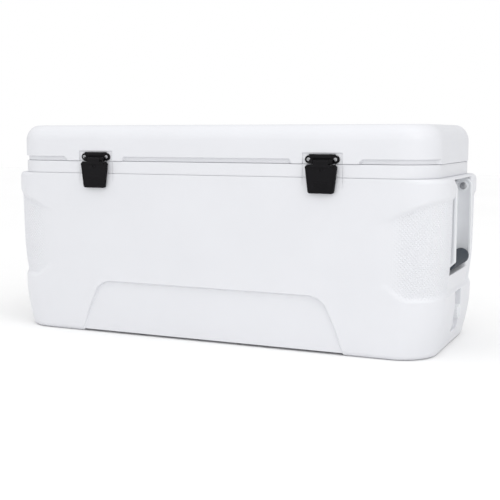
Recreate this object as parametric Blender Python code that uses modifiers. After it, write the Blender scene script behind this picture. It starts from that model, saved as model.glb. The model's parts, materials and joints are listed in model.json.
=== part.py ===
"""Large hard-sided chest cooler with a bail handle at each end.

Metres, +Z up, +X along the long side, the latches face -Y, the feet stand on Z = 0.
The rotomoulded look comes from stacked rounded-rectangle sections: an outer shell, a foam
core and an inner tub for the body, and the same three for the lid. Two latches, three
hinges, two bails and a drain are fitted to them.
"""

import math

import bmesh
import bpy
from mathutils import Matrix, Vector

# ---------------------------------------------------------------- driving dimensions
RIM_LENGTH = 1.030          # the tub's rim skirt, end to end
RIM_DEPTH = 0.415           # the tub's rim skirt, front to rear
RIM_CORNER = 0.080          # plan radius of the rim's corners
PARTING_Z = 0.408           # the plane where the lid meets the body
LID_HEIGHT = 0.0835         # from the parting plane to the top of the lid

SHELL_WALL = 0.003          # outer shells
LINER_WALL = 0.003          # inner tub and lid liner
GAP = 0.0003                # between pieces that touch
SEAM = 0.0006               # between the lid and the rim

SKIRT_HEIGHT = 0.028        # rim skirt that laps over the outer shell
SHOULDER_HEIGHT = 0.034     # thick band under the skirt, at the ends
SHOULDER_OUT = 0.0225       # how far it stands out past the rim
SHOULDER_RAMP = 0.030       # height of the slope from the wall out to the shoulder
SHOULDER_EASE = 0.013       # height of the rounding on the shoulder's top edge
SHOULDER_EASE_IN = 0.010    # and its run inwards
WALL_OUT = 0.0190           # the ends' wall under the shoulder, out past the rim
FRONT_OUT = 0.0015          # how far the front and rear stand out under the skirt
FRONT_DRAFT = 0.0045        # how far they lean in on their way to the floor
BOTTOM_ROUND = 0.012
SHELL_PROFILE = (           # height, how far the ends are out past the rim, share of the front's draft
    (0.012, -0.0010, 1.0),
    (0.028, 0.0030, 0.9),
    (0.048, 0.0075, 0.8),
    (0.070, 0.0115, 0.7),
    (0.098, 0.0145, 0.6),
    (0.116, 0.0140, 0.5),
    (0.142, 0.0110, 0.4),
    (0.165, 0.0150, 0.3),
    (0.205, 0.0180, 0.0),
)
SHELL_CORNER_EXTRA = 0.004  # the shell's corners are rounder than the rim's

END_WALL = 0.054            # rim to tub, at the ends
SIDE_WALL = 0.038           # rim to tub, front and rear
TUB_DRAFT = 0.010
TUB_CORNER = 0.050
TUB_FLOOR_Z = 0.044
TUB_FILLET = 0.011

PANEL_HALF_FOOT = 0.3315    # recessed panel low on the front, half its width at the floor
PANEL_LEAN = 0.40           # its sides lean in by this much of their height
PANEL_TOP_Z = 0.127
PANEL_FILLET = 0.034
PANEL_DEPTH = 0.004
FOOT_RISE = 0.0055          # the belly between the feet clears the floor by this

BAY_HALF = 0.0885           # handle bay in each end, half its width
BAY_CLEAR = 0.013           # its floor, below the bail's ends
BAY_ROOF = 0.005            # shoulder left above the bay
POCKET_HALF = 0.062         # finger pocket behind the grip
POCKET_DEPTH = 0.019
POCKET_CORNER = 0.028
POCKET_OVER = 0.055         # its top, above the grip's axis
POCKET_SILL = 0.005         # its floor, above the bay's

PIVOT_DROP = 0.054          # bail pivot, below the parting plane
ARM_HALF = 0.0195           # half the width of a bail's arm
ARM_THICK = 0.012
ARM_PROUD = 0.001           # it stands out past the shoulder by this
ARM_EASE = 0.004            # chamfer at its lower inner corner
ARM_SLANT = 0.003           # its lower outer corner, above the grip's axis
ARM_GAP = 0.0015            # arm to bay wall
BAY_BACK_GAP = 0.002        # arm to bay back
GRIP_DROP = 0.159           # grip's axis, below the pivot
GRIP_RADIUS = 0.0175
GRIP_EASE = 0.003
CORE_RADIUS = 0.007
ARM_TAIL = 0.012            # arm's end, below the grip's axis
PIVOT_PIN_RADIUS = 0.004
PIVOT_HEAD_RADIUS = 0.008
PIVOT_HEAD_THICK = 0.0022
RUNNING_GAP = 0.0005        # round a shaft that turns

LID_OUT = 0.0015            # the lid overhangs the rim by this
LID_ROUND = 0.038           # height of the lid's top edge rounding
LID_ROUND_IN = 0.032        # and its run inwards
GROOVE_HEIGHT = 0.010       # finger groove under the lid's front edge
GROOVE_DEPTH = 0.004
GROOVE_END_SHARE = 0.8      # share of each front corner that the groove goes round
BOSS_HALF = 0.078           # lid left full round each latch
PLUG_DEPTH = 0.012          # lid liner's plug, into the tub
PLUG_GAP = 0.004
LINER_LIP = 0.012
PLUG_EASE = 0.003           # the plug's foot is this much smaller than its top
RIM_EASE = 0.0015           # rounding on the rim's top edge

LATCH_X = 0.280             # latch centres, either side of the middle
LATCH_TOP_HALF = 0.0355
LATCH_BOTTOM_HALF = 0.0285
LATCH_POCKET_HALF = 0.0445
LATCH_POCKET_DEPTH = 0.003
LATCH_POCKET_HEIGHT = 0.023
PLATE_HEIGHT = 0.0190
PLATE_THICK = 0.0035
PLATE_RISE = 0.0015         # above the lid's lower edge
PLATE_SCREW_SHARE = 0.42    # the screws' height, as a share of the plate's
PLATE_NARROW = 0.0055       # the plate's body is this much narrower each side than the flap
PLATE_SCREW_X = 0.030
PLATE_EAR_RADIUS = 0.0085
FLAP_LENGTH = 0.0660        # below its pin
FLAP_THICK = 0.0075
FLAP_WALL = 0.003
FLAP_DROP = 0.0065          # the flap's top edge, below the pin
FLAP_CHAMFER = 0.005        # its corners
LATCH_PIN_RADIUS = 0.002
LATCH_BARREL_RADIUS = 0.0045
LATCH_PIN_HALF = 0.026
LUG_HALF = 0.004            # lugs on the plate that carry the pin, half their width
LUG_REACH = 0.0035          # round the pin's axis, forwards and down
LUG_RISE = 0.0065
LATCH_PIN_RISE = 0.0045     # pin above the parting plane
KEEPER_HALF = 0.016
KEEPER_HEIGHT = 0.018
KEEPER_THICK = 0.003
KEEPER_DROP = 0.010         # its top, below the parting plane
KEEPER_CLEAR = 0.0008
KEEPER_NOSE = 0.003         # the ridge the flap snaps over
KEEPER_NOSE_DROP = 0.0045
KEEPER_EASE = 0.001

HINGE_X = 0.330             # outer hinges, either side of the middle one
HINGE_HALF = 0.036
HINGE_LEAF = 0.034
HINGE_THICK = 0.003
HINGE_LEAF_START = 0.0075   # a leaf starts this far from the axis
HINGE_WEB = 0.0115          # a web joins leaf and knuckle as far as this from the axis
HINGE_WEB_IN = 0.001        # and is this much smaller than they are
KNUCKLE_RADIUS = 0.005
HINGE_PIN_RADIUS = 0.0022
HINGE_STANDOFF = 0.0080     # pin axis, behind the lid's rear face
KNUCKLE_GAP = 0.0006
HINGE_SCREW_X = 0.022
HINGE_SCREW_Z = 0.020       # from the hinge axis

SCREW_SHANK = 0.0020
SCREW_HEAD = 0.0040
SCREW_HEAD_HEIGHT = 0.0018

DRAIN_Z = 0.078
DRAIN_TUBE_RADIUS = 0.012
DRAIN_BORE_RADIUS = 0.009
DRAIN_FLANGE_RADIUS = 0.021
DRAIN_FLANGE_THICK = 0.003
DRAIN_SPOUT_RADIUS = 0.0135
DRAIN_SPOUT = 0.010
DRAIN_CAP_RADIUS = 0.0170
DRAIN_CAP_WALL = 0.0025
DRAIN_CAP_EASE = 0.002
DRAIN_CAP_LIFT = 0.0008     # the cap's rim clears the flange by this
DRAIN_NUT_RADIUS = 0.0160
DRAIN_NUT_THICK = 0.005
DRAIN_TUBE_PAST = 0.001     # tube end past the nut
DRAIN_NUT_STANDOFF = 0.0015 # nut to the leaning tub wall
DRAIN_SEAL_THICK = 0.002
DRAIN_BAY_HALF = 0.030
DRAIN_BAY_BOTTOM_Z = 0.036
DRAIN_BAY_TOP_Z = 0.126
DRAIN_BAY_IN = 0.001        # back of the drain bay, inside the rim's end

CUT_OVER = 0.020            # cutters run past what they cut by this
HOLE_OVER = 0.010           # and drills past what they drill
CORNER_STEPS = 5            # facets on each plan corner
ROUND_SIDES = 16            # sides of the larger turned pieces
SCREW_SIDES = 10            # and of screws and pins

# ---------------------------------------------------------------- places that follow
RIM_X = RIM_LENGTH / 2
RIM_Y = RIM_DEPTH / 2
SHELL_TOP_Z = PARTING_Z - SKIRT_HEIGHT - GAP
LID_BOTTOM_Z = PARTING_Z + SEAM
LID_TOP_Z = PARTING_Z + LID_HEIGHT
LID_FRONT_Y = -(RIM_Y + LID_OUT)
PIVOT_X = RIM_X + SHOULDER_OUT - ARM_HALF + ARM_PROUD
PIVOT_Z = PARTING_Z - PIVOT_DROP
GRIP_Z = PIVOT_Z - GRIP_DROP
BAY_BACK_X = PIVOT_X - ARM_HALF - BAY_BACK_GAP
BAY_TOP_Z = SHELL_TOP_Z - BAY_ROOF
BAY_BOTTOM_Z = GRIP_Z - ARM_TAIL - BAY_CLEAR
POCKET_TOP_Z = GRIP_Z + POCKET_OVER
POCKET_BOTTOM_Z = BAY_BOTTOM_Z + POCKET_SILL
ARM_OUTER_Y = BAY_HALF - ARM_GAP
ARM_INNER_Y = ARM_OUTER_Y - ARM_THICK
PLATE_BACK_Y = LID_FRONT_Y + LATCH_POCKET_DEPTH - GAP
PLATE_FRONT_Y = PLATE_BACK_Y - PLATE_THICK
PLATE_BOTTOM_Z = LID_BOTTOM_Z + PLATE_RISE
LATCH_PIN_Z = PARTING_Z + LATCH_PIN_RISE
LATCH_PIN_Y = PLATE_FRONT_Y - LATCH_BARREL_RADIUS - RUNNING_GAP
FLAP_FRONT_Y = LATCH_PIN_Y - LATCH_BARREL_RADIUS
FLAP_BACK_Y = FLAP_FRONT_Y + FLAP_THICK
HINGE_Y = -LID_FRONT_Y + HINGE_STANDOFF
HINGE_Z = PARTING_Z
DRAIN_BACK_X = RIM_X - DRAIN_BAY_IN
TUB_X = RIM_X - END_WALL
TUB_Y = RIM_Y - SIDE_WALL
REAR_REACH = HINGE_Y + KNUCKLE_RADIUS
FRONT_REACH = -FLAP_FRONT_Y
Y_SHIFT = (FRONT_REACH - REAR_REACH) / 2

parts = None
cutters = None


# ---------------------------------------------------------------- scene and materials
def clear_scene():
    for obj in list(bpy.data.objects):
        bpy.data.objects.remove(obj, do_unlink=True)


def new_collection(name):
    collection = bpy.data.collections.new(name)
    bpy.context.scene.collection.children.link(collection)
    return collection


def material(name, colour, roughness, metallic=0.0):
    found = bpy.data.materials.get(name)
    if found:
        return found
    made = bpy.data.materials.new(name)
    made.use_nodes = True
    shader = made.node_tree.nodes["Principled BSDF"]
    shader.inputs["Base Color"].default_value = (*colour, 1.0)
    shader.inputs["Roughness"].default_value = roughness
    shader.inputs["Metallic"].default_value = metallic
    return made


def white_shell():
    return material("white_polyethylene", (0.86, 0.87, 0.89), 0.42)


def white_liner():
    return material("white_liner", (0.88, 0.89, 0.90), 0.35)


def white_bail():
    return material("white_nylon_bail", (0.84, 0.85, 0.86), 0.38)


def foam():
    return material("polyurethane_foam", (0.90, 0.82, 0.58), 0.90)


def black_latch():
    return material("black_nylon", (0.022, 0.022, 0.026), 0.48)


def dark_grip():
    return material("slate_grip_rubber", (0.045, 0.055, 0.068), 0.70)


def steel():
    return material("stainless_steel", (0.62, 0.62, 0.60), 0.30, 1.0)


def seal_rubber():
    return material("black_seal_rubber", (0.03, 0.03, 0.03), 0.80)


# ---------------------------------------------------------------- shape helpers
def keep(obj, skin, parent, pivot=(0, 0, 0), smooth=35):
    """A finished piece: its collection, material, shading and parent axis."""
    for collection in list(obj.users_collection):
        collection.objects.unlink(obj)
    parts.objects.link(obj)
    obj.data.materials.clear()
    obj.data.materials.append(skin)
    obj.data.shade_smooth()
    obj.data.set_sharp_from_angle(angle=math.radians(smooth))
    obj.parent = parent
    obj.matrix_parent_inverse = Matrix.Translation(-Vector(pivot))
    return obj


def as_cutter(obj, parent):
    for collection in list(obj.users_collection):
        collection.objects.unlink(obj)
    cutters.objects.link(obj)
    obj.display_type = "WIRE"
    obj.hide_render = True
    obj.parent = parent
    return obj


def boolean(obj, other, operation):
    modifier = obj.modifiers.new(f"{operation.lower()} {other.name}", "BOOLEAN")
    modifier.operation = operation
    modifier.object = other
    modifier.solver = "EXACT"


def cut(obj, *others):
    for other in others:
        boolean(obj, other, "DIFFERENCE")


def mesh_object(name, bm, closed=True):
    if closed:
        bmesh.ops.recalc_face_normals(bm, faces=bm.faces)
    mesh = bpy.data.meshes.new(name)
    bm.to_mesh(mesh)
    bm.free()
    obj = bpy.data.objects.new(name, mesh)
    bpy.context.scene.collection.objects.link(obj)
    return obj


def rounded_outline(half_x, half_y, radius):
    """Points of a rounded rectangle, the same number at every size."""
    points = []
    for corner, (sx, sy) in enumerate(((1, 1), (-1, 1), (-1, -1), (1, -1))):
        for step in range(CORNER_STEPS + 1):
            angle = math.pi / 2 * (corner + step / CORNER_STEPS)
            x = sx * (half_x - radius) + radius * math.cos(angle)
            y = sy * (half_y - radius) + radius * math.sin(angle)
            points.append((x, y))
    return points


def loft(name, rings, closed=True):
    """Skin over (z, half x, half y, corner radius) sections, capped at its last ring,
    and at its first one too when closed."""
    bm = bmesh.new()
    loops = []
    for z, half_x, half_y, radius in rings:
        loops.append([bm.verts.new((x, y, z)) for x, y in rounded_outline(half_x, half_y, radius)])
    for lower, upper in zip(loops, loops[1:]):
        for index in range(len(lower)):
            after = (index + 1) % len(lower)
            bm.faces.new((lower[index], lower[after], upper[after], upper[index]))
    bm.faces.new(loops[-1])
    if closed:
        bm.faces.new(list(reversed(loops[0])))
    return mesh_object(name, bm, closed)


def thicken(obj, side):
    """Wall of an open liner surface: side 1 grows along its normals, -1 against them."""
    wall = obj.modifiers.new("liner wall", "SOLIDIFY")
    wall.thickness = LINER_WALL
    wall.offset = side
    wall.use_even_offset = True


def box(name, low, high, bevel=0.0, segments=2):
    low, high = Vector(low), Vector(high)
    bpy.ops.mesh.primitive_cube_add(size=1, location=(low + high) / 2)
    obj = bpy.context.object
    obj.name = name
    obj.scale = high - low
    bpy.ops.object.transform_apply(location=True, rotation=True, scale=True)
    if bevel:
        rounding = obj.modifiers.new("rounded edges", "BEVEL")
        rounding.width = bevel
        rounding.segments = segments
    return obj


AXIS_TURN = {"X": (0, math.pi / 2, 0), "Y": (math.pi / 2, 0, 0), "Z": (0, 0, 0)}


def cylinder(name, radius, start, end, axis, sides=ROUND_SIDES):
    """A cylinder from start to end, two points on a line along axis."""
    start, end = Vector(start), Vector(end)
    bpy.ops.mesh.primitive_cylinder_add(
        vertices=sides, radius=radius, depth=(end - start).length, location=(start + end) / 2,
        rotation=AXIS_TURN[axis])
    obj = bpy.context.object
    obj.name = name
    bpy.ops.object.transform_apply(location=True, rotation=True, scale=True)
    return obj


def turned(name, profile, place, turn, sides=ROUND_SIDES):
    """A closed profile of (radius, height) points, turned round Z, then placed."""
    bm = bmesh.new()
    verts = [bm.verts.new((radius, 0, height)) for radius, height in profile]
    for first, second in zip(verts, verts[1:]):
        bm.edges.new((first, second))
    mesh = bpy.data.meshes.new(name)
    bm.to_mesh(mesh)
    bm.free()
    obj = bpy.data.objects.new(name, mesh)
    bpy.context.scene.collection.objects.link(obj)
    screw = obj.modifiers.new("turned", "SCREW")
    screw.steps = sides
    screw.render_steps = sides
    screw.use_merge_vertices = True
    screw.merge_threshold = 0.00005
    obj.location = place
    obj.rotation_euler = turn
    return obj


def prism(name, outline, low, high, axis):
    """A flat outline given in the two other axes, run from low to high along axis."""
    bm = bmesh.new()
    verts = []
    for first, second in outline:
        place = (low, first, second) if axis == "X" else (first, low, second)
        verts.append(bm.verts.new(place))
    face = bm.faces.new(verts)
    travel = Vector((high - low, 0, 0)) if axis == "X" else Vector((0, high - low, 0))
    grown = bmesh.ops.extrude_face_region(bm, geom=[face])
    moved = [item for item in grown["geom"] if isinstance(item, bmesh.types.BMVert)]
    bmesh.ops.translate(bm, verts=moved, vec=travel)
    return mesh_object(name, bm)


def arc(centre, radius, start, end, steps):
    """Points on an arc, angles in degrees."""
    points = []
    for step in range(steps + 1):
        angle = math.radians(start + (end - start) * step / steps)
        points.append((centre[0] + radius * math.cos(angle), centre[1] + radius * math.sin(angle)))
    return points


def join_shapes(first, *others):
    """Several meshes as one object, for a cutter of separate closed bodies."""
    with bpy.context.temp_override(active_object=first, selected_editable_objects=[first, *others]):
        bpy.ops.object.join()
    return first


def axis_empty(name, place, parent, parent_place=(0, 0, 0)):
    empty = bpy.data.objects.new(name, None)
    empty.empty_display_size = 0.03
    parts.objects.link(empty)
    empty.parent = parent
    empty.location = Vector(place) - Vector(parent_place)
    return empty


# ---------------------------------------------------------------- body sections
def body_sections(inset):
    """The outer shell's sections from the floor to under the skirt, moved in by inset."""
    corner = RIM_CORNER + SHELL_CORNER_EXTRA - inset
    shoulder_z = SHELL_TOP_Z - SHOULDER_HEIGHT
    heights = [(z, end_out, -FRONT_DRAFT * share) for z, end_out, share in SHELL_PROFILE]
    heights.append((shoulder_z - SHOULDER_RAMP, WALL_OUT, FRONT_OUT))
    heights.append((shoulder_z, SHOULDER_OUT, FRONT_OUT))
    heights.append((SHELL_TOP_Z - SHOULDER_EASE, SHOULDER_OUT, FRONT_OUT))
    _, end_out, front_out = heights[0]
    rings = []
    for step in range(3):
        angle = math.pi / 2 * step / 3
        pull = (BOTTOM_ROUND - inset) * (1 - math.sin(angle)) + inset
        z = BOTTOM_ROUND - (BOTTOM_ROUND - inset) * math.cos(angle)
        rings.append((z, RIM_X + end_out - pull, RIM_Y + front_out - pull, corner + inset - pull))
    for z, end_out, front_out in heights:
        rings.append((z, RIM_X + end_out - inset, RIM_Y + front_out - inset, corner))
    top_x = RIM_X + SHOULDER_OUT - SHOULDER_EASE_IN - inset
    rings.append((SHELL_TOP_Z - inset, top_x, RIM_Y + FRONT_OUT - inset, corner))
    return rings


def neck(inset, z):
    """Section of the shell's neck, tucked inside the skirt."""
    back = LINER_WALL + GAP + inset
    return (z, RIM_X - back, RIM_Y - back, RIM_CORNER - back)


def tub(grow, z, extra=0.0):
    """Section of the inner tub at height z, grown outwards."""
    depth = (PARTING_Z - z) / (PARTING_Z - TUB_FLOOR_Z)
    lean = TUB_DRAFT * min(max(depth, 0.0), 1.0)
    half_x = TUB_X - lean - extra + grow
    half_y = TUB_Y - lean - extra + grow
    return (z, half_x, half_y, TUB_CORNER - extra + grow)


def tub_bowl(grow):
    """The tub's floor fillet, from its floor up to its wall, grown outwards."""
    radius = TUB_FILLET + grow
    rings = []
    for step in range(4):
        angle = math.pi / 6 * step
        z = TUB_FLOOR_Z + TUB_FILLET - radius * math.cos(angle)
        rings.append(tub(0.0, z, TUB_FILLET - radius * math.sin(angle)))
    return rings


def bay_cutters(grow, parent, label):
    """The handle bay and the finger pocket behind it, at both ends, grown by grow."""
    made = []
    outside = RIM_X + SHOULDER_OUT + CUT_OVER
    for side, end in ((1, "right"), (-1, "left")):
        back = BAY_BACK_X - grow
        low_x, high_x = sorted((side * back, side * outside))
        made.append(box(f"{label}_bay_{end}", (low_x, -BAY_HALF - grow, BAY_BOTTOM_Z - grow),
                        (high_x, BAY_HALF + grow, BAY_TOP_Z + grow)))
        deep = BAY_BACK_X - POCKET_DEPTH - grow
        low_x, high_x = sorted((side * deep, side * (BAY_BACK_X + HOLE_OVER / 2)))
        radius = POCKET_CORNER
        top, low, half = POCKET_TOP_Z + grow, POCKET_BOTTOM_Z - grow, POCKET_HALF + grow
        outline = [(-half, low), (half, low)]
        outline += arc((half - radius, top - radius), radius, 0, 90, 4)
        outline += arc((radius - half, top - radius), radius, 90, 180, 4)
        made.append(prism(f"{label}_pocket_{end}", outline, low_x, high_x, "X"))
    return [as_cutter(obj, parent) for obj in made]


def drain_bay_cutter(grow, parent, label):
    outside = RIM_X + SHOULDER_OUT + CUT_OVER
    obj = box(f"{label}_drain_bay", (DRAIN_BACK_X - grow, -DRAIN_BAY_HALF - grow,
                                     DRAIN_BAY_BOTTOM_Z - grow),
              (outside, DRAIN_BAY_HALF + grow, DRAIN_BAY_TOP_Z + grow))
    return as_cutter(obj, parent)


def panel_outline(grow):
    """Front panel: a low trapezium with rounded upper corners."""
    top, foot = PANEL_TOP_Z + grow, -CUT_OVER
    foot_x = PANEL_HALF_FOOT + grow - PANEL_LEAN * foot
    outline = [(-foot_x, foot), (foot_x, foot)]
    lean = math.degrees(math.atan(PANEL_LEAN))
    centre_x = foot_x - PANEL_LEAN * (top - PANEL_FILLET - foot)
    centre_x -= PANEL_FILLET / math.cos(math.radians(lean))
    outline += arc((centre_x, top - PANEL_FILLET), PANEL_FILLET, lean, 90, 4)
    outline += arc((-centre_x, top - PANEL_FILLET), PANEL_FILLET, 90, 180 - lean, 4)
    return outline


def panel_cutters(grow, parent, label):
    front = -(RIM_Y - FRONT_DRAFT) + PANEL_DEPTH + grow
    panel = prism(f"{label}_panel", panel_outline(grow), front, -RIM_Y - CUT_OVER, "Y")
    half = PANEL_HALF_FOOT + grow
    belly = box(f"{label}_belly", (-half, -RIM_Y - CUT_OVER, -CUT_OVER),
                (half, RIM_Y + CUT_OVER, FOOT_RISE + grow))
    return [as_cutter(panel, parent), as_cutter(belly, parent)]


def drilled(label, holes, parent):
    """One cutter for many round holes, each (radius, start, end, axis)."""
    made = []
    for index, (radius, start, end, axis) in enumerate(holes):
        sides = 8 if radius < 0.003 else 12 if radius < 0.006 else 28
        made.append(cylinder(f"{label}_hole_{index}", radius, start, end, axis, sides))
    return as_cutter(join_shapes(*made) if len(made) > 1 else made[0], parent)


# ---------------------------------------------------------------- where the fasteners go
def hinge_places():
    return (("left", -HINGE_X), ("centre", 0.0), ("right", HINGE_X))


def latch_places():
    return (("left", -LATCH_X), ("right", LATCH_X))


def end_places():
    return (("right", 1), ("left", -1))


def rear_screw_holes(radius, side):
    """Holes for the hinge screws: side 1 in the lid, -1 in the body."""
    holes = []
    for _, x in hinge_places():
        for dx in (-HINGE_SCREW_X, HINGE_SCREW_X):
            z = HINGE_Z + side * HINGE_SCREW_Z
            holes.append((radius, (x + dx, RIM_Y - HOLE_OVER, z), (x + dx, HINGE_Y + HOLE_OVER, z), "Y"))
    return holes


def plate_screw_z():
    return PLATE_BOTTOM_Z + PLATE_HEIGHT * PLATE_SCREW_SHARE


def plate_screw_holes(radius):
    holes = []
    for _, x in latch_places():
        for dx in (-PLATE_SCREW_X, PLATE_SCREW_X):
            z = plate_screw_z()
            holes.append((radius, (x + dx, LID_FRONT_Y + HOLE_OVER, z),
                          (x + dx, LID_FRONT_Y - HOLE_OVER, z), "Y"))
    return holes


def keeper_screw_z():
    return PARTING_Z - KEEPER_DROP - KEEPER_HEIGHT / 2


def keeper_screw_holes(radius):
    z = keeper_screw_z()
    low_y, high_y = -RIM_Y - HOLE_OVER, -RIM_Y + HOLE_OVER
    return [(radius, (x, low_y, z), (x, high_y, z), "Y") for _, x in latch_places()]


def pivot_holes(radius):
    holes = []
    for _, side in end_places():
        for face in (1, -1):
            holes.append((radius, (side * PIVOT_X, face * (BAY_HALF - SHELL_WALL), PIVOT_Z),
                          (side * PIVOT_X, face * (BAY_HALF + SHELL_WALL + GAP * 3), PIVOT_Z), "Y"))
    return holes


# ---------------------------------------------------------------- body
def build_body(root):
    outer = body_sections(0.0)
    outer += [neck(0.0, SHELL_TOP_Z), neck(0.0, PARTING_Z - LINER_WALL - GAP)]
    shell = loft("body_shell", outer)

    hollow = body_sections(SHELL_WALL) + [neck(SHELL_WALL, SHELL_TOP_Z - SHELL_WALL),
                                          neck(SHELL_WALL, PARTING_Z + CUT_OVER)]
    cavity = as_cutter(loft("shell_cavity", hollow), root)
    cut(cavity, *bay_cutters(SHELL_WALL, root, "cavity"), *panel_cutters(SHELL_WALL, root, "cavity"),
        drain_bay_cutter(SHELL_WALL, root, "cavity"))
    cut(shell, *panel_cutters(0.0, root, "shell"), cavity, *bay_cutters(0.0, root, "shell"),
        drain_bay_cutter(0.0, root, "shell"))
    drain_hole = (DRAIN_TUBE_RADIUS + GAP, (DRAIN_BACK_X - HOLE_OVER, 0, DRAIN_Z),
                  (DRAIN_BACK_X + HOLE_OVER, 0, DRAIN_Z), "X")
    shell_holes = rear_screw_holes(SCREW_SHANK + GAP, -1) + keeper_screw_holes(SCREW_SHANK + GAP)
    shell_holes += pivot_holes(PIVOT_PIN_RADIUS + GAP) + [drain_hole]
    cut(shell, drilled("shell", shell_holes, root))
    keep(shell, white_shell(), root)

    back = SHELL_WALL + GAP
    core = body_sections(back) + [neck(back, SHELL_TOP_Z - back),
                                  neck(back, PARTING_Z - LINER_WALL - GAP)]
    body_foam = loft("body_foam", core)
    grow = LINER_WALL + GAP
    tub_space = tub_bowl(grow) + [tub(grow, PARTING_Z), tub(grow, PARTING_Z + CUT_OVER)]
    cut(body_foam, as_cutter(loft("tub_space", tub_space), root), *bay_cutters(back, root, "foam"),
        *panel_cutters(back, root, "foam"), drain_bay_cutter(back, root, "foam"))
    foam_holes = [(DRAIN_TUBE_RADIUS + GAP, (TUB_X - CUT_OVER, 0, DRAIN_Z),
                   (RIM_X + HOLE_OVER, 0, DRAIN_Z), "X")]
    cut(body_foam, drilled("foam", foam_holes, root))
    keep(body_foam, foam(), root)

    surface = [(PARTING_Z - SKIRT_HEIGHT, RIM_X, RIM_Y, RIM_CORNER),
               (PARTING_Z - RIM_EASE, RIM_X, RIM_Y, RIM_CORNER),
               (PARTING_Z, RIM_X - RIM_EASE, RIM_Y - RIM_EASE, RIM_CORNER - RIM_EASE),
               tub(0.0, PARTING_Z)] + list(reversed(tub_bowl(0.0)))
    liner = loft("body_liner", surface, closed=False)
    thicken(liner, -1)
    liner_holes = rear_screw_holes(SCREW_SHANK + GAP, -1) + keeper_screw_holes(SCREW_SHANK + GAP)
    liner_holes.append((DRAIN_TUBE_RADIUS + GAP, (TUB_X - CUT_OVER, 0, DRAIN_Z),
                        (TUB_X + HOLE_OVER, 0, DRAIN_Z), "X"))
    cut(liner, drilled("liner", liner_holes, root))
    keep(liner, white_liner(), root)


# ---------------------------------------------------------------- lid
def lid_sections(inset):
    """The lid's outer sections from the parting plane to its crown, moved in by inset."""
    half_x, half_y = RIM_X + LID_OUT - inset, RIM_Y + LID_OUT - inset
    corner = RIM_CORNER + LID_OUT - inset
    rings = [(LID_BOTTOM_Z, half_x, half_y, corner)]
    for step in range(CORNER_STEPS + 1):
        angle = math.pi / 2 * step / CORNER_STEPS
        pull = (LID_ROUND_IN - inset * 0.5) * (1 - math.cos(angle))
        z = LID_TOP_Z - LID_ROUND + (LID_ROUND - inset) * math.sin(angle)
        rings.append((z, half_x - pull, half_y - pull, corner - pull))
    return rings


def groove_cutter(grow, parent, label):
    """Finger groove: a band along the front and its corners, broken at the latches."""
    low, high = PARTING_Z - HOLE_OVER, LID_BOTTOM_Z + GROOVE_HEIGHT + grow
    below, above = low - HOLE_OVER, high + HOLE_OVER
    inner_x = RIM_X + LID_OUT - GROOVE_DEPTH - grow
    inner_y = RIM_Y + LID_OUT - GROOVE_DEPTH - grow
    corner = RIM_CORNER + LID_OUT - GROOVE_DEPTH - grow
    outer = (inner_x + CUT_OVER, inner_y + CUT_OVER, corner + CUT_OVER)
    band = loft(f"{label}_groove", [(low, *outer), (high, *outer)])
    core = as_cutter(loft(f"{label}_groove_core", [(below, inner_x, inner_y, corner),
                                                   (above, inner_x, inner_y, corner)]), parent)
    end_y = -RIM_Y + RIM_CORNER * GROOVE_END_SHARE + grow
    rear = as_cutter(box(f"{label}_groove_rear", (-RIM_X - 2 * CUT_OVER, end_y, below),
                         (RIM_X + 2 * CUT_OVER, RIM_Y + 2 * CUT_OVER, above)), parent)
    cut(band, core, rear)
    for side, x in latch_places():
        half = BOSS_HALF - grow
        boss = box(f"{label}_boss_{side}", (x - half, -RIM_Y - 2 * CUT_OVER, below), (x + half, 0, above))
        cut(band, as_cutter(boss, parent))
    return as_cutter(band, parent)


def latch_pocket_cutters(grow, parent, label):
    made = []
    for side, x in latch_places():
        half = LATCH_POCKET_HALF + grow
        back, top = LID_FRONT_Y + LATCH_POCKET_DEPTH + grow, LID_BOTTOM_Z + LATCH_POCKET_HEIGHT + grow
        obj = box(f"{label}_latch_pocket_{side}", (x - half, LID_FRONT_Y - CUT_OVER, PARTING_Z - HOLE_OVER),
                  (x + half, back, top))
        made.append(as_cutter(obj, parent))
    return made


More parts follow.
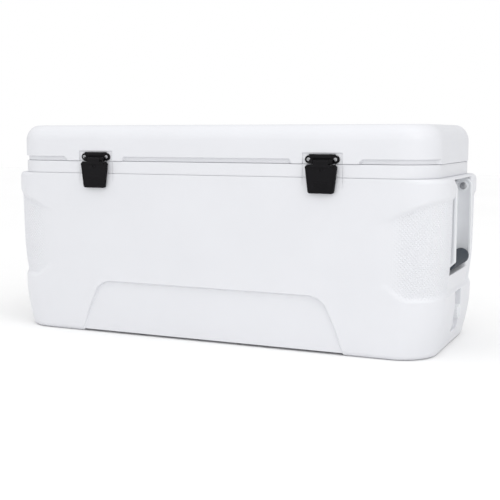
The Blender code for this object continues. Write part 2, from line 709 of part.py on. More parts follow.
def build_lid(axis, pivot, root):
    shell = loft("lid_shell", lid_sections(0.0))
    inner = lid_sections(SHELL_WALL)
    inner = [(LID_BOTTOM_Z - CUT_OVER, *inner[0][1:])] + inner[1:]
    cavity = as_cutter(loft("lid_cavity", inner), root)
    cut(cavity, groove_cutter(SHELL_WALL, root, "lid_cavity"),
        *latch_pocket_cutters(SHELL_WALL, root, "lid_cavity"))
    cut(shell, cavity, groove_cutter(0.0, root, "lid_shell"), *latch_pocket_cutters(0.0, root, "lid_shell"))
    lid_holes = rear_screw_holes(SCREW_SHANK + GAP, 1) + plate_screw_holes(SCREW_SHANK + GAP)
    cut(shell, drilled("lid", lid_holes, root))
    keep(shell, white_shell(), axis, pivot)

    edge = GROOVE_DEPTH + SHELL_WALL + GAP
    edge_x, edge_y = RIM_X + LID_OUT - edge, RIM_Y + LID_OUT - edge
    edge_corner = RIM_CORNER + LID_OUT - edge
    plug_z = PARTING_Z - PLUG_DEPTH
    plug_top, plug_foot = tub(-PLUG_GAP, PARTING_Z)[1:], tub(-PLUG_GAP, plug_z, PLUG_EASE)[1:]
    surface = [(LID_BOTTOM_Z + LINER_LIP, edge_x, edge_y, edge_corner),
               (LID_BOTTOM_Z, edge_x, edge_y, edge_corner),
               (LID_BOTTOM_Z, *plug_top), (plug_z, *plug_foot)]
    liner = loft("lid_liner", surface, closed=False)
    thicken(liner, 1)
    keep(liner, white_liner(), axis, pivot)

    step = LINER_WALL + GAP
    _, plug_x, plug_y, plug_corner = tub(-PLUG_GAP - step, PARTING_Z)
    rings = [(plug_z + step, plug_x - PLUG_EASE, plug_y - PLUG_EASE, plug_corner - PLUG_EASE),
             (LID_BOTTOM_Z + step, plug_x, plug_y, plug_corner),
             (LID_BOTTOM_Z + step, edge_x - step, edge_y - step, edge_corner - step)]
    crown = lid_sections(SHELL_WALL + GAP)
    crown[0] = (LID_BOTTOM_Z + LINER_LIP + SEAM, edge_x - step, edge_y - step, edge_corner - step)
    rings += crown
    core = loft("lid_foam", rings)
    cut(core, *latch_pocket_cutters(SHELL_WALL + GAP, root, "lid_foam"))
    keep(core, foam(), axis, pivot)


# ---------------------------------------------------------------- fasteners
def screw_profile(length):
    """Pan head and plain shank, head up: the shank's end is at -length."""
    return ((0, SCREW_HEAD_HEIGHT), (SCREW_HEAD * 0.55, SCREW_HEAD_HEIGHT),
            (SCREW_HEAD, SCREW_HEAD_HEIGHT * 0.35), (SCREW_HEAD, 0.0),
            (SCREW_SHANK, 0.0), (SCREW_SHANK, -length), (0, -length))


def fit_screw(name, head_place, facing, length, parent, pivot):
    """A screw whose head sits on the face at head_place and faces -Y or +Y."""
    turn = (math.pi / 2, 0, 0) if facing < 0 else (-math.pi / 2, 0, 0)
    place = Vector(head_place) + Vector((0, facing * GAP, 0))
    obj = turned(name, screw_profile(length), place, turn, SCREW_SIDES)
    return keep(obj, steel(), parent, pivot)


# ---------------------------------------------------------------- hinges
def build_hinge(side, x, root, lid_axis, lid_pivot):
    """Two leaves and a pin: the body's knuckle in the middle, the lid's either side."""
    third = HINGE_HALF * 2 / 3
    start = HINGE_LEAF_START
    for owner, sign, face_y in (("body", -1, RIM_Y), ("lid", 1, RIM_Y + LID_OUT)):
        near, far = sorted((HINGE_Z + sign * start, HINGE_Z + sign * HINGE_LEAF))
        low_y = face_y + GAP
        high_y = low_y + HINGE_THICK
        if owner == "body":
            far = min(far, HINGE_Z - start)
            near = max(near, PARTING_Z - SKIRT_HEIGHT + HINGE_WEB_IN)
            spans = ((x - third / 2 + KNUCKLE_GAP, x + third / 2 - KNUCKLE_GAP),)
        else:
            spans = ((x - HINGE_HALF, x - third / 2), (x + third / 2, x + HINGE_HALF))
        leaf = box(f"hinge_{side}_{owner}_leaf", (x - HINGE_HALF, low_y, near),
                   (x + HINGE_HALF, high_y, far))
        for index, (left, right) in enumerate(spans):
            web_low, web_high = sorted((HINGE_Z + sign * KNUCKLE_GAP, HINGE_Z + sign * HINGE_WEB))
            web = box(f"{leaf.name}_web_{index}", (left + HINGE_WEB_IN, low_y + KNUCKLE_GAP, web_low),
                      (right - HINGE_WEB_IN, HINGE_Y + HINGE_WEB_IN, web_high))
            knuckle = cylinder(f"{leaf.name}_knuckle_{index}", KNUCKLE_RADIUS, (left, HINGE_Y, HINGE_Z),
                               (right, HINGE_Y, HINGE_Z), "X")
            boolean(leaf, as_cutter(web, root), "UNION")
            boolean(leaf, as_cutter(knuckle, root), "UNION")
        holes = [(HINGE_PIN_RADIUS + GAP, (x - HINGE_HALF - HOLE_OVER, HINGE_Y, HINGE_Z),
                  (x + HINGE_HALF + HOLE_OVER, HINGE_Y, HINGE_Z), "X")]
        screw_z = HINGE_Z + sign * HINGE_SCREW_Z
        for dx in (-HINGE_SCREW_X, HINGE_SCREW_X):
            holes.append((SCREW_SHANK + GAP, (x + dx, low_y - HOLE_OVER, screw_z),
                          (x + dx, high_y + HOLE_OVER, screw_z), "Y"))
        cut(leaf, drilled(leaf.name, holes, root))
        parent, pivot = (root, (0, 0, 0)) if owner == "body" else (lid_axis, lid_pivot)
        keep(leaf, black_latch(), parent, pivot)
        for index, dx in enumerate((-HINGE_SCREW_X, HINGE_SCREW_X)):
            fit_screw(f"hinge_{side}_{owner}_screw_{index + 1}", (x + dx, high_y, screw_z), 1,
                      HINGE_THICK + SHELL_WALL + GAP, parent, pivot)
    pin = cylinder(f"hinge_{side}_pin", HINGE_PIN_RADIUS, (x - HINGE_HALF, HINGE_Y, HINGE_Z),
                   (x + HINGE_HALF, HINGE_Y, HINGE_Z), "X", SCREW_SIDES)
    keep(pin, steel(), root)


# ---------------------------------------------------------------- latches
def build_latch(side, x, root, lid_axis, lid_pivot):
    """A plate on the lid, a flap on a pin, and a keeper on the rim's skirt."""
    screw_z = plate_screw_z()
    half = LATCH_TOP_HALF - PLATE_NARROW
    plate = box(f"latch_{side}_plate", (x - half, PLATE_FRONT_Y, PLATE_BOTTOM_Z),
                (x + half, PLATE_BACK_Y, PLATE_BOTTOM_Z + PLATE_HEIGHT))
    for index, sign in enumerate((-1, 1)):
        ear_x = x + sign * PLATE_SCREW_X
        ear = cylinder(f"{plate.name}_ear_{index}", PLATE_EAR_RADIUS, (ear_x, PLATE_BACK_Y, screw_z),
                       (ear_x, PLATE_FRONT_Y, screw_z), "Y")
        lug_x = x + sign * (LATCH_PIN_HALF - LUG_HALF)
        lug = box(f"{plate.name}_lug_{index}",
                  (lug_x - LUG_HALF, LATCH_PIN_Y - LUG_REACH, LATCH_PIN_Z - LUG_REACH),
                  (lug_x + LUG_HALF, PLATE_FRONT_Y + SEAM, LATCH_PIN_Z + LUG_RISE), SEAM)
        boolean(plate, as_cutter(ear, root), "UNION")
        boolean(plate, as_cutter(lug, root), "UNION")
    pin_line = ((x - LATCH_PIN_HALF, LATCH_PIN_Y, LATCH_PIN_Z),
                (x + LATCH_PIN_HALF, LATCH_PIN_Y, LATCH_PIN_Z))
    bore_half = LATCH_TOP_HALF + HOLE_OVER
    bore = (LATCH_PIN_RADIUS + GAP, (x - bore_half, LATCH_PIN_Y, LATCH_PIN_Z),
            (x + bore_half, LATCH_PIN_Y, LATCH_PIN_Z), "X")
    holes = [bore]
    for sign in (-1, 1):
        ear_x = x + sign * PLATE_SCREW_X
        holes.append((SCREW_SHANK + GAP, (ear_x, PLATE_BACK_Y + HOLE_OVER, screw_z),
                      (ear_x, PLATE_FRONT_Y - HOLE_OVER, screw_z), "Y"))
    cut(plate, drilled(plate.name, holes, root))
    keep(plate, black_latch(), lid_axis, lid_pivot)
    for index, sign in enumerate((-1, 1)):
        fit_screw(f"latch_{side}_plate_screw_{index + 1}",
                  (x + sign * PLATE_SCREW_X, PLATE_FRONT_Y, screw_z), -1,
                  PLATE_THICK + SHELL_WALL, lid_axis, lid_pivot)
    pin = cylinder(f"latch_{side}_pin", LATCH_PIN_RADIUS, *pin_line, "X", SCREW_SIDES)
    keep(pin, steel(), lid_axis, lid_pivot)

    pivot = (x, LATCH_PIN_Y, LATCH_PIN_Z)
    flap_axis = axis_empty(f"latch_{side}_axis", pivot, lid_axis, lid_pivot)
    top_z, bottom_z = LATCH_PIN_Z - FLAP_DROP, LATCH_PIN_Z - FLAP_LENGTH
    low_half, high_half = LATCH_BOTTOM_HALF, LATCH_TOP_HALF
    outline = [(x - low_half + FLAP_CHAMFER, bottom_z), (x + low_half - FLAP_CHAMFER, bottom_z),
               (x + low_half, bottom_z + FLAP_CHAMFER), (x + high_half, top_z - FLAP_CHAMFER),
               (x + high_half - FLAP_CHAMFER, top_z), (x - high_half + FLAP_CHAMFER, top_z),
               (x - high_half, top_z - FLAP_CHAMFER), (x - low_half, bottom_z + FLAP_CHAMFER)]
    flap = prism(f"latch_{side}_flap", outline, FLAP_FRONT_Y, FLAP_BACK_Y, "Y")
    barrel_half = LATCH_PIN_HALF - LUG_HALF * 2 - KEEPER_CLEAR
    barrel = cylinder(f"{flap.name}_barrel", LATCH_BARREL_RADIUS,
                      (x - barrel_half, LATCH_PIN_Y, LATCH_PIN_Z),
                      (x + barrel_half, LATCH_PIN_Y, LATCH_PIN_Z), "X")
    web = box(f"{flap.name}_web", (x - barrel_half, LATCH_PIN_Y - LATCH_BARREL_RADIUS, top_z - SEAM),
              (x + barrel_half, LATCH_PIN_Y + SEAM, LATCH_PIN_Z))
    boolean(flap, as_cutter(barrel, root), "UNION")
    boolean(flap, as_cutter(web, root), "UNION")
    hollow = box(f"{flap.name}_hollow",
                 (x - low_half + FLAP_WALL, FLAP_FRONT_Y + FLAP_WALL, bottom_z - HOLE_OVER),
                 (x + low_half - FLAP_WALL, FLAP_BACK_Y + HOLE_OVER, top_z - FLAP_WALL))
    cut(flap, as_cutter(hollow, root), drilled(flap.name, [bore], root))
    keep(flap, black_latch(), flap_axis, pivot)

    keeper_top = PARTING_Z - KEEPER_DROP
    keeper_back = -RIM_Y - GAP
    front = keeper_back - KEEPER_THICK
    nose = max(FLAP_FRONT_Y + FLAP_WALL + KEEPER_CLEAR, front - KEEPER_NOSE)
    profile = [(keeper_back, keeper_top), (front, keeper_top - KEEPER_EASE),
               (nose, keeper_top - KEEPER_NOSE_DROP), (front, keeper_top - KEEPER_NOSE_DROP - KEEPER_NOSE),
               (front, keeper_top - KEEPER_HEIGHT), (keeper_back, keeper_top - KEEPER_HEIGHT)]
    keeper = prism(f"latch_{side}_keeper", profile, x - KEEPER_HALF, x + KEEPER_HALF, "X")
    recess_z = keeper_screw_z()
    recess = cylinder(f"{keeper.name}_recess", SCREW_HEAD + KEEPER_EASE, (x, front, recess_z),
                      (x, nose - HOLE_OVER, recess_z), "Y")
    hole = (SCREW_SHANK + GAP, (x, keeper_back + HOLE_OVER, recess_z),
            (x, front - HOLE_OVER, recess_z), "Y")
    cut(keeper, as_cutter(recess, root), drilled(keeper.name, [hole], root))
    keep(keeper, black_latch(), root)
    fit_screw(f"latch_{side}_keeper_screw", (x, front, recess_z), -1,
              KEEPER_THICK + LINER_WALL + SHELL_WALL / 2, root, (0, 0, 0))


# ---------------------------------------------------------------- handles
def arm_outline(side):
    """An arm seen along Y: round at the pivot, cut off at a slant below the grip."""
    end_z = GRIP_Z - ARM_TAIL
    outline = arc((PIVOT_X, PIVOT_Z), ARM_HALF, 0, 180, 8)
    outline += [(PIVOT_X - ARM_HALF, end_z + ARM_EASE), (PIVOT_X - ARM_HALF + ARM_EASE, end_z)]
    outline += [(PIVOT_X + ARM_EASE, end_z), (PIVOT_X + ARM_HALF, GRIP_Z + ARM_SLANT)]
    return [(side * px, pz) for px, pz in outline]


def build_handle(end, side, root):
    """Bail of two arms and a core rod, a rubber grip, and a pivot pin for each arm."""
    pivot = (side * PIVOT_X, 0, PIVOT_Z)
    axis = axis_empty(f"handle_{end}_axis", pivot, root)
    bail = prism(f"handle_{end}_bail", arm_outline(side), -ARM_OUTER_Y, -ARM_INNER_Y, "Y")
    far_arm = prism(f"{bail.name}_arm", arm_outline(side), ARM_INNER_Y, ARM_OUTER_Y, "Y")
    rod_end = ARM_INNER_Y + ARM_THICK / 2
    rod = cylinder(f"{bail.name}_rod", CORE_RADIUS, (side * PIVOT_X, -rod_end, GRIP_Z),
                   (side * PIVOT_X, rod_end, GRIP_Z), "Y")
    boolean(bail, as_cutter(rod, root), "UNION")
    boolean(bail, as_cutter(far_arm, root), "UNION")
    hole = (PIVOT_PIN_RADIUS + RUNNING_GAP, (side * PIVOT_X, -BAY_HALF - HOLE_OVER, PIVOT_Z),
            (side * PIVOT_X, BAY_HALF + HOLE_OVER, PIVOT_Z), "Y")
    cut(bail, drilled(bail.name, [hole], root))
    keep(bail, white_bail(), axis, pivot)

    grip_half = ARM_INNER_Y - GAP
    inner, edge = CORE_RADIUS + GAP, GRIP_RADIUS - GRIP_EASE
    profile = ((inner, grip_half), (edge, grip_half), (GRIP_RADIUS, grip_half - GRIP_EASE),
               (GRIP_RADIUS, GRIP_EASE - grip_half), (edge, -grip_half), (inner, -grip_half),
               (inner, grip_half))
    grip = turned(f"handle_{end}_grip", profile, (side * PIVOT_X, 0, GRIP_Z), (math.pi / 2, 0, 0))
    keep(grip, dark_grip(), axis, pivot)

    for face, label in ((-1, "front"), (1, "rear")):
        reach = ARM_THICK + ARM_GAP + SHELL_WALL - GAP
        profile = ((0, PIVOT_HEAD_THICK), (PIVOT_HEAD_RADIUS * 0.6, PIVOT_HEAD_THICK),
                   (PIVOT_HEAD_RADIUS, PIVOT_HEAD_THICK * 0.4), (PIVOT_HEAD_RADIUS, 0.0),
                   (PIVOT_PIN_RADIUS, 0.0), (PIVOT_PIN_RADIUS, -reach), (0, -reach))
        place = (side * PIVOT_X, face * (ARM_INNER_Y - GAP), PIVOT_Z)
        pin = turned(f"handle_{end}_{label}_pivot", profile, place, (face * math.pi / 2, 0, 0))
        keep(pin, steel(), root)


# ---------------------------------------------------------------- drain
def build_drain(root):
    """Flanged tube through the wall, nut inside, seal and screw cap outside."""
    to_x = (0, math.pi / 2, 0)
    tub_face = tub(0.0, DRAIN_Z)[1]
    flange_z = DRAIN_FLANGE_THICK
    inner_end = tub_face - DRAIN_NUT_STANDOFF - DRAIN_NUT_THICK - DRAIN_TUBE_PAST - DRAIN_BACK_X
    profile = ((DRAIN_BORE_RADIUS, flange_z + DRAIN_SPOUT), (DRAIN_SPOUT_RADIUS, flange_z + DRAIN_SPOUT),
               (DRAIN_SPOUT_RADIUS, flange_z), (DRAIN_FLANGE_RADIUS, flange_z), (DRAIN_FLANGE_RADIUS, 0.0),
               (DRAIN_TUBE_RADIUS, 0.0), (DRAIN_TUBE_RADIUS, inner_end), (DRAIN_BORE_RADIUS, inner_end),
               (DRAIN_BORE_RADIUS, flange_z + DRAIN_SPOUT))
    fitting = turned("drain_fitting", profile, (DRAIN_BACK_X + GAP, 0, DRAIN_Z), to_x)
    keep(fitting, white_bail(), root)

    inner = DRAIN_TUBE_RADIUS + GAP
    profile = ((inner, 0.0), (DRAIN_NUT_RADIUS, 0.0), (DRAIN_NUT_RADIUS, -DRAIN_NUT_THICK),
               (inner, -DRAIN_NUT_THICK), (inner, 0.0))
    nut = turned("drain_nut", profile, (tub_face - DRAIN_NUT_STANDOFF, 0, DRAIN_Z), to_x)
    keep(nut, white_bail(), root)

    face_x = DRAIN_BACK_X + GAP + flange_z
    seal_pivot = (face_x, 0, DRAIN_Z)
    slide_axis = axis_empty("drain_slide_axis", seal_pivot, root)
    inner = DRAIN_BORE_RADIUS
    seal_low = DRAIN_SPOUT + GAP
    profile = ((inner, seal_low + DRAIN_SEAL_THICK), (DRAIN_SPOUT_RADIUS, seal_low + DRAIN_SEAL_THICK),
               (DRAIN_SPOUT_RADIUS, seal_low), (inner, seal_low), (inner, seal_low + DRAIN_SEAL_THICK))
    keep(turned("drain_cap_seal", profile, seal_pivot, to_x), seal_rubber(), slide_axis, seal_pivot)

    cap_axis = axis_empty("drain_cap_axis", seal_pivot, slide_axis, seal_pivot)
    bore = DRAIN_SPOUT_RADIUS + RUNNING_GAP
    ceiling = seal_low + DRAIN_SEAL_THICK + GAP
    top = ceiling + DRAIN_CAP_WALL
    edge = DRAIN_CAP_RADIUS - DRAIN_CAP_EASE
    profile = ((0, top), (edge, top), (DRAIN_CAP_RADIUS, top - DRAIN_CAP_EASE),
               (DRAIN_CAP_RADIUS, DRAIN_CAP_LIFT), (bore, DRAIN_CAP_LIFT), (bore, ceiling), (0, ceiling))
    keep(turned("drain_cap", profile, seal_pivot, to_x), white_bail(), cap_axis, seal_pivot)


# ---------------------------------------------------------------- assembly
def main():
    global parts, cutters
    clear_scene()
    parts = new_collection("chest_cooler")
    cutters = new_collection("chest_cooler_cutters")
    root = bpy.data.objects.new("cooler_frame", None)
    parts.objects.link(root)
    root.location = (0, Y_SHIFT, 0)
    lid_pivot = (0, HINGE_Y, HINGE_Z)
    lid_axis = axis_empty("lid_hinge_axis", lid_pivot, root)

    build_body(root)
    build_lid(lid_axis, lid_pivot, root)
    for side, x in hinge_places():
        build_hinge(side, x, root, lid_axis, lid_pivot)
    for side, x in latch_places():
        build_latch(side, x, root, lid_axis, lid_pivot)
    for end, side in end_places():
        build_handle(end, side, root)
    build_drain(root)


main()
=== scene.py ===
"""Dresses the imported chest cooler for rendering: its mouldings, fittings and fasteners, and a stage.

Pieces are made in the chest's own space: metres, X along the long side, the latches face -Y,
the floor is Z = 0.
"""

import math

import bmesh
import bpy
import numpy as np
from bpy.props import FloatProperty, FloatVectorProperty, IntProperty, PointerProperty
from mathutils import Matrix, Vector
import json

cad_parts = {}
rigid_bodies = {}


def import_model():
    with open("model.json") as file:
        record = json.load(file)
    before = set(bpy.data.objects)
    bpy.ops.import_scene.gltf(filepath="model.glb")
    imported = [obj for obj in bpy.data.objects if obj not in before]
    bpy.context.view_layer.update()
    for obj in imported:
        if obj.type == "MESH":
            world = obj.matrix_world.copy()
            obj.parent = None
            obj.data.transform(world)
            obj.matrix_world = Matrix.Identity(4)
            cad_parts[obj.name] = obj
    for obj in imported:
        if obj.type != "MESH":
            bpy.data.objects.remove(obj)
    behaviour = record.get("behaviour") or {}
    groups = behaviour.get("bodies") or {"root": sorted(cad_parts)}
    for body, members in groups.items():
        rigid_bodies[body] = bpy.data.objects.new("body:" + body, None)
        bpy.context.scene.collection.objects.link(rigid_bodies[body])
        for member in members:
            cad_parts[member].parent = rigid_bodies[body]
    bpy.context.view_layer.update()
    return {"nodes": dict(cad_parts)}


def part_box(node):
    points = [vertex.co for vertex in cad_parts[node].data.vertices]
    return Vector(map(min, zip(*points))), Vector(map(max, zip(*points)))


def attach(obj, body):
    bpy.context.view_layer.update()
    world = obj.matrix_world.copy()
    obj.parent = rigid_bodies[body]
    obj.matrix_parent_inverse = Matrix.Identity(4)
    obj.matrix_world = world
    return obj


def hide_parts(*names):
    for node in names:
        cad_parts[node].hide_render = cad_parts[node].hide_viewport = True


bl_info = {
    "name": "Chest cooler dresser",
    "version": (1, 0, 0),
    "blender": (4, 5, 0),
    "location": "View3D > Sidebar > Cooler",
    "description": "Builds the mouldings, fittings and stage of a large hard-sided chest cooler",
    "category": "Object",
}

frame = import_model()

# ---------------------------------------------------------------- places read from the frame
LINER_LOW, LINER_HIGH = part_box("body_liner")
LID_LOW, LID_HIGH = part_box("lid_shell")
FLAP_LOW, FLAP_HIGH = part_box("latch_right_flap")
FLAP_PIN_LOW, FLAP_PIN_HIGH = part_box("latch_right_pin")
KEEPER_LOW, KEEPER_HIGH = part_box("latch_right_keeper")
BAIL_LOW, BAIL_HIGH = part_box("handle_right_bail")
GRIP_LOW, GRIP_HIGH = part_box("handle_right_grip")
PIVOT_LOW, PIVOT_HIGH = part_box("handle_right_front_pivot")
HINGE_PIN_LOW, HINGE_PIN_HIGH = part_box("hinge_right_pin")
FITTING_LOW, FITTING_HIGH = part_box("drain_fitting")
NUT_LOW, NUT_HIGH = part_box("drain_nut")
CAP_LOW, CAP_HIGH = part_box("drain_cap")
SEAL_LOW, SEAL_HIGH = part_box("drain_cap_seal")

MM = 0.001
MIDDLE_Y = (LINER_LOW.y + LINER_HIGH.y) / 2      # the chest's middle, front to rear
RIM_X = LINER_HIGH.x
RIM_Y = LINER_HIGH.y - MIDDLE_Y
PARTING_Z = LINER_HIGH.z
LID_X = LID_HIGH.x
LID_Y = LID_HIGH.y - MIDDLE_Y
LID_BOTTOM_Z = LID_LOW.z
LID_TOP_Z = LID_HIGH.z
SKIRT_Z = PARTING_Z - 28 * MM                    # lower edge of the rim's skirt

RIM_CORNER = 80 * MM
SHELL_CORNER = 84 * MM
BOTTOM_ROUND = 12 * MM
FRONT_FLAT = 0.4440                              # nominal half length of the straight front
END_FLAT = 0.1235                                # and of the straight ends
FRONT_KEEP = 0.400                               # columns inside these keep their own place
END_KEEP = 0.100

# outer shell, (height, out past the rim at the ends, out past it at the front)
SHELL_PROFILE = (
    (0.0000, -0.0010, -0.0045), (0.0120, -0.0010, -0.0045), (0.0280, 0.0030, -0.0041),
    (0.0480, 0.0075, -0.0036), (0.0700, 0.0115, -0.0032), (0.0950, 0.0143, -0.0027),
    (0.1160, 0.0143, -0.0023), (0.1420, 0.0148, -0.0018), (0.1650, 0.0182, -0.0014),
    (0.2050, 0.0212, 0.0000), (0.2600, 0.0220, 0.0006), (0.3150, 0.0225, 0.0011),
    (0.3460, 0.0225, 0.0015), (0.3820, 0.0225, 0.0015),
)
SHOULDER_EDGE = ((0.398, 0.284), (0.406, 0.289), (0.438, 0.300), (0.490, 0.3225), (0.534, 0.336))
PAD_EDGE = ((0.4185, 0.153), (0.440, 0.138), (0.461, 0.1265), (0.490, 0.1265), (0.534, 0.1285))
RECESS_START = 0.394                             # the corner recess fades in past here
RECESS_FULL = 0.468
PANEL_SIDE = ((0.000, 0.331), (0.006, 0.330), (0.023, 0.323), (0.055, 0.312), (0.0865, 0.298),
              (0.1085, 0.287), (0.1216, 0.271), (0.1272, 0.250), (0.170, 0.275))
PANEL_COLUMN = 0.275                             # nominal column that follows the panel's side
PANEL_TOP_Z = 0.1272
PANEL_Y = RIM_Y - 8.5 * MM                       # the panel's flat face
FOOT_RISE = 5.5 * MM

BAY_HALF = 88.5 * MM
BAY_LOW_Z, BAY_HIGH_Z = 0.170, 0.3747
BAY_BACK_X = RIM_X - 17.5 * MM
SHOULDER_ROUND = 13 * MM                         # top edge of the shoulders at the ends
JAMB_ROUND = 6 * MM                              # how far the bay's upright edges are rounded over
BAY_EDGE = 2.2 * MM                              # and its other edges, and the drain bay's
BAY_FILLET = 1.8 * MM                            # at the foot of the bays' walls
BAY_DRAFT = 0.4 * MM                             # how far those walls lean
POCKET_HALF, POCKET_ROUND, POCKET_DEPTH = 60 * MM, 26 * MM, 18.5 * MM
POCKET_LOW_Z, POCKET_HIGH_Z = 0.177, 0.248
DRAIN_HALF = 30 * MM
DRAIN_LOW_Z, DRAIN_HIGH_Z = 0.036, 0.126
DRAIN_BACK_X = RIM_X - 1 * MM

LATCH_X = (FLAP_LOW.x + FLAP_HIGH.x) / 2
LATCH_POCKET_HALF = 44.5 * MM
LATCH_POCKET_TOP_Z = LID_BOTTOM_Z + 23 * MM
GROOVE_TOP_Z = LID_BOTTOM_Z + 10 * MM
GROOVE_END_Y = -0.1435
HINGE_XS = (-0.330, 0.0, 0.330)
TUB_X, TUB_Y, TUB_CORNER = RIM_X - 54 * MM, RIM_Y - 38 * MM, 50 * MM
TUB_FLOOR_Z, TUB_DRAFT, TUB_FILLET = 0.044, 10 * MM, 11 * MM
WALL = 3 * MM
PIN_EASE = 0.6 * MM                              # rounding on the ends of pins

# ---------------------------------------------------------------- stage
CAMERA_PLACE = (0.960, -2.1072, 0.4714)          # in the chest's space
CAMERA_YAW, CAMERA_PITCH = 0.4190, 0.1211        # to the left of straight ahead, and down
CAMERA_LENS, CAMERA_SENSOR = 68.74, 36.0
FLOOR_REACH = 9.0
BRIGHTEST = (-0.25, -0.55, 0.8)                  # direction of the studio's brightest part
DIMMEST_LEVEL, BRIGHTEST_LEVEL = 0.60, 1.22
SCRIM_STRENGTH, SCRIM_SPREAD = 0.42, 50          # the overhead light, its spread in degrees
SCRIM_TILT = (10, 24)                            # degrees forwards and to the right


def length(title, note, value):
    """A size in metres that a user may change."""
    return FloatProperty(name=title, description=note, default=value, min=0.0, unit="LENGTH",
                         subtype="DISTANCE", precision=5)


def colour(title, note, value):
    """A colour that a user may change, from an sRGB hex value."""
    return FloatVectorProperty(name=title, description=note, default=linear(value), size=3, min=0.0,
                               max=1.0, subtype="COLOR")


def linear(value):
    """Linear red, green and blue from an sRGB hex value such as EEF0F2."""
    channels = [int(value[i:i + 2], 16) / 255 for i in (0, 2, 4)]
    return tuple(c / 12.92 if c <= 0.04045 else ((c + 0.055) / 1.055) ** 2.4 for c in channels)


class CoolerSizes(bpy.types.PropertyGroup):
    recess_depth: length("Corner recess", "Depth of the textured recess round each corner", 7.0 * MM)
    stud_pitch: length("Stud pitch", "Distance between the diamond studs of a corner", 8.0 * MM)
    stud_height: length("Stud height", "How far each diamond stud stands up", 1.1 * MM)
    groove_depth: length("Lid groove", "Depth of the finger groove under the lid's front", 5.8 * MM)
    crown_field: length("Lid field", "How far the field on top of the lid is let in", 1.5 * MM)
    knurl_pitch: length("Knurl pitch", "Distance between the ridges of a grip", 4.2 * MM)
    knurl_depth: length("Knurl depth", "Depth of the grip's knurling", 0.55 * MM)
    cap_ribs: IntProperty(name="Cap ribs", description="Ribs round the drain cap", default=20, min=6)


class CoolerColours(bpy.types.PropertyGroup):
    shell: colour("Shell", "Outer shells of the body and the lid", "D9DADE")
    liner: colour("Liner", "Tub, rim and the lid's underside", "D9DADE")
    fittings: colour("Fittings", "Bails and drain", "DCDEE1")
    latch: colour("Latches", "Latches and hinges", "0F0E11")
    grip: colour("Grips", "Rubber of the grips", "3A4048")
    steel: colour("Steel", "Screws and pins", "A9AAAD")
    floor: colour("Floor", "Studio floor", "F4F4F4")


# ---------------------------------------------------------------- materials
def add_node(tree, kind, settings=None, links=None):
    """Adds a node with its settings, its socket values and its links."""
    made = tree.nodes.new(kind)
    for key, value in (settings or {}).items():
        setattr(made, key, value)
    for key, value in (links or {}).items():
        if isinstance(value, bpy.types.NodeSocket):
            tree.links.new(value, made.inputs[key])
        else:
            made.inputs[key].default_value = value
    return made


def per_metre(millimetres):
    """Pattern scale that gives features of that size."""
    return 1000.0 / millimetres


def new_material(name):
    """An empty material with its shader, its output and the piece's own coordinates."""
    made = bpy.data.materials.new(name)
    made.use_nodes = True
    tree = made.node_tree
    tree.nodes.clear()
    where = add_node(tree, "ShaderNodeTexCoord").outputs["Object"]
    shader = add_node(tree, "ShaderNodeBsdfPrincipled")
    add_node(tree, "ShaderNodeOutputMaterial", links={"Surface": shader.outputs[0]})
    return made, tree, where, shader


def shaded(value, factor):
    """A colour made lighter or darker, opaque."""
    return (*(min(c * factor, 1.0) for c in value), 1.0)


def moulded(name, tint, gloss, spread, peel_mm, peel, blotch_mm, blotch, ior, sheen=0.5):
    """A moulded surface: broad tone shifts, fine orange peel and a roughness that wanders."""
    made, tree, where, shader = new_material(name)
    broad = add_node(tree, "ShaderNodeTexNoise", links={
        "Vector": where, "Scale": per_metre(blotch_mm), "Detail": 4.0, "Roughness": 0.55})
    tone = add_node(tree, "ShaderNodeValToRGB", links={"Fac": broad.outputs["Fac"]})
    tone.color_ramp.elements[0].position = 0.30
    tone.color_ramp.elements[0].color = shaded(tint, 1.0 - blotch)
    tone.color_ramp.elements[1].position = 0.70
    tone.color_ramp.elements[1].color = shaded(tint, 1.0 + blotch)
    wander = add_node(tree, "ShaderNodeMapRange", links={
        "Value": broad.outputs["Fac"], "From Min": 0.3, "From Max": 0.7,
        "To Min": gloss - spread, "To Max": gloss + spread})
    skin = add_node(tree, "ShaderNodeTexNoise", links={
        "Vector": where, "Scale": per_metre(peel_mm), "Detail": 3.0, "Roughness": 0.6})
    bump = add_node(tree, "ShaderNodeBump", links={
        "Height": skin.outputs["Fac"], "Strength": peel, "Distance": 0.25 * MM})
    tree.links.new(tone.outputs["Color"], shader.inputs["Base Color"])
    tree.links.new(wander.outputs["Result"], shader.inputs["Roughness"])
    tree.links.new(bump.outputs["Normal"], shader.inputs["Normal"])
    shader.inputs["IOR"].default_value = ior
    shader.inputs["Specular IOR Level"].default_value = sheen
    return made


def rotomoulded_polyethylene(tint):
    """High-density polyethylene off the mould: a soft satin white, with a faint pebble and tone shifts."""
    return moulded("rotomoulded_polyethylene", tint, 0.44, 0.05, 2.2, 0.22, 160, 0.012, 1.54)


def smooth_polyethylene(tint):
    """Polyethylene from a polished mould: cleaner and glossier than the shell, easily wiped."""
    return moulded("smooth_polyethylene", tint, 0.32, 0.05, 5.0, 0.10, 120, 0.010, 1.54)


def white_polypropylene(tint):
    """Injection-moulded polypropylene: crisp, with a light sheen and faint flow marks."""
    return moulded("white_polypropylene", tint, 0.36, 0.06, 1.6, 0.15, 30, 0.018, 1.49)


def glass_filled_nylon(tint):
    """Glass-filled nylon from a spark-eroded mould: near black, a fine even grain, dull highlights."""
    return moulded("glass_filled_nylon", tint, 0.46, 0.07, 0.7, 0.55, 14, 0.14, 1.53, 0.10)


def grip_rubber(tint):
    """Thermoplastic rubber: slate grey, matt, with a dusty bloom on its ridges."""
    return moulded("thermoplastic_rubber", tint, 0.62, 0.08, 0.9, 0.45, 9, 0.22, 1.52, 0.25)


def seal_rubber():
    """Nitrile rubber: flat black and slightly waxy."""
    return moulded("nitrile_rubber", linear("161616"), 0.55, 0.08, 0.8, 0.30, 6, 0.15, 1.52)


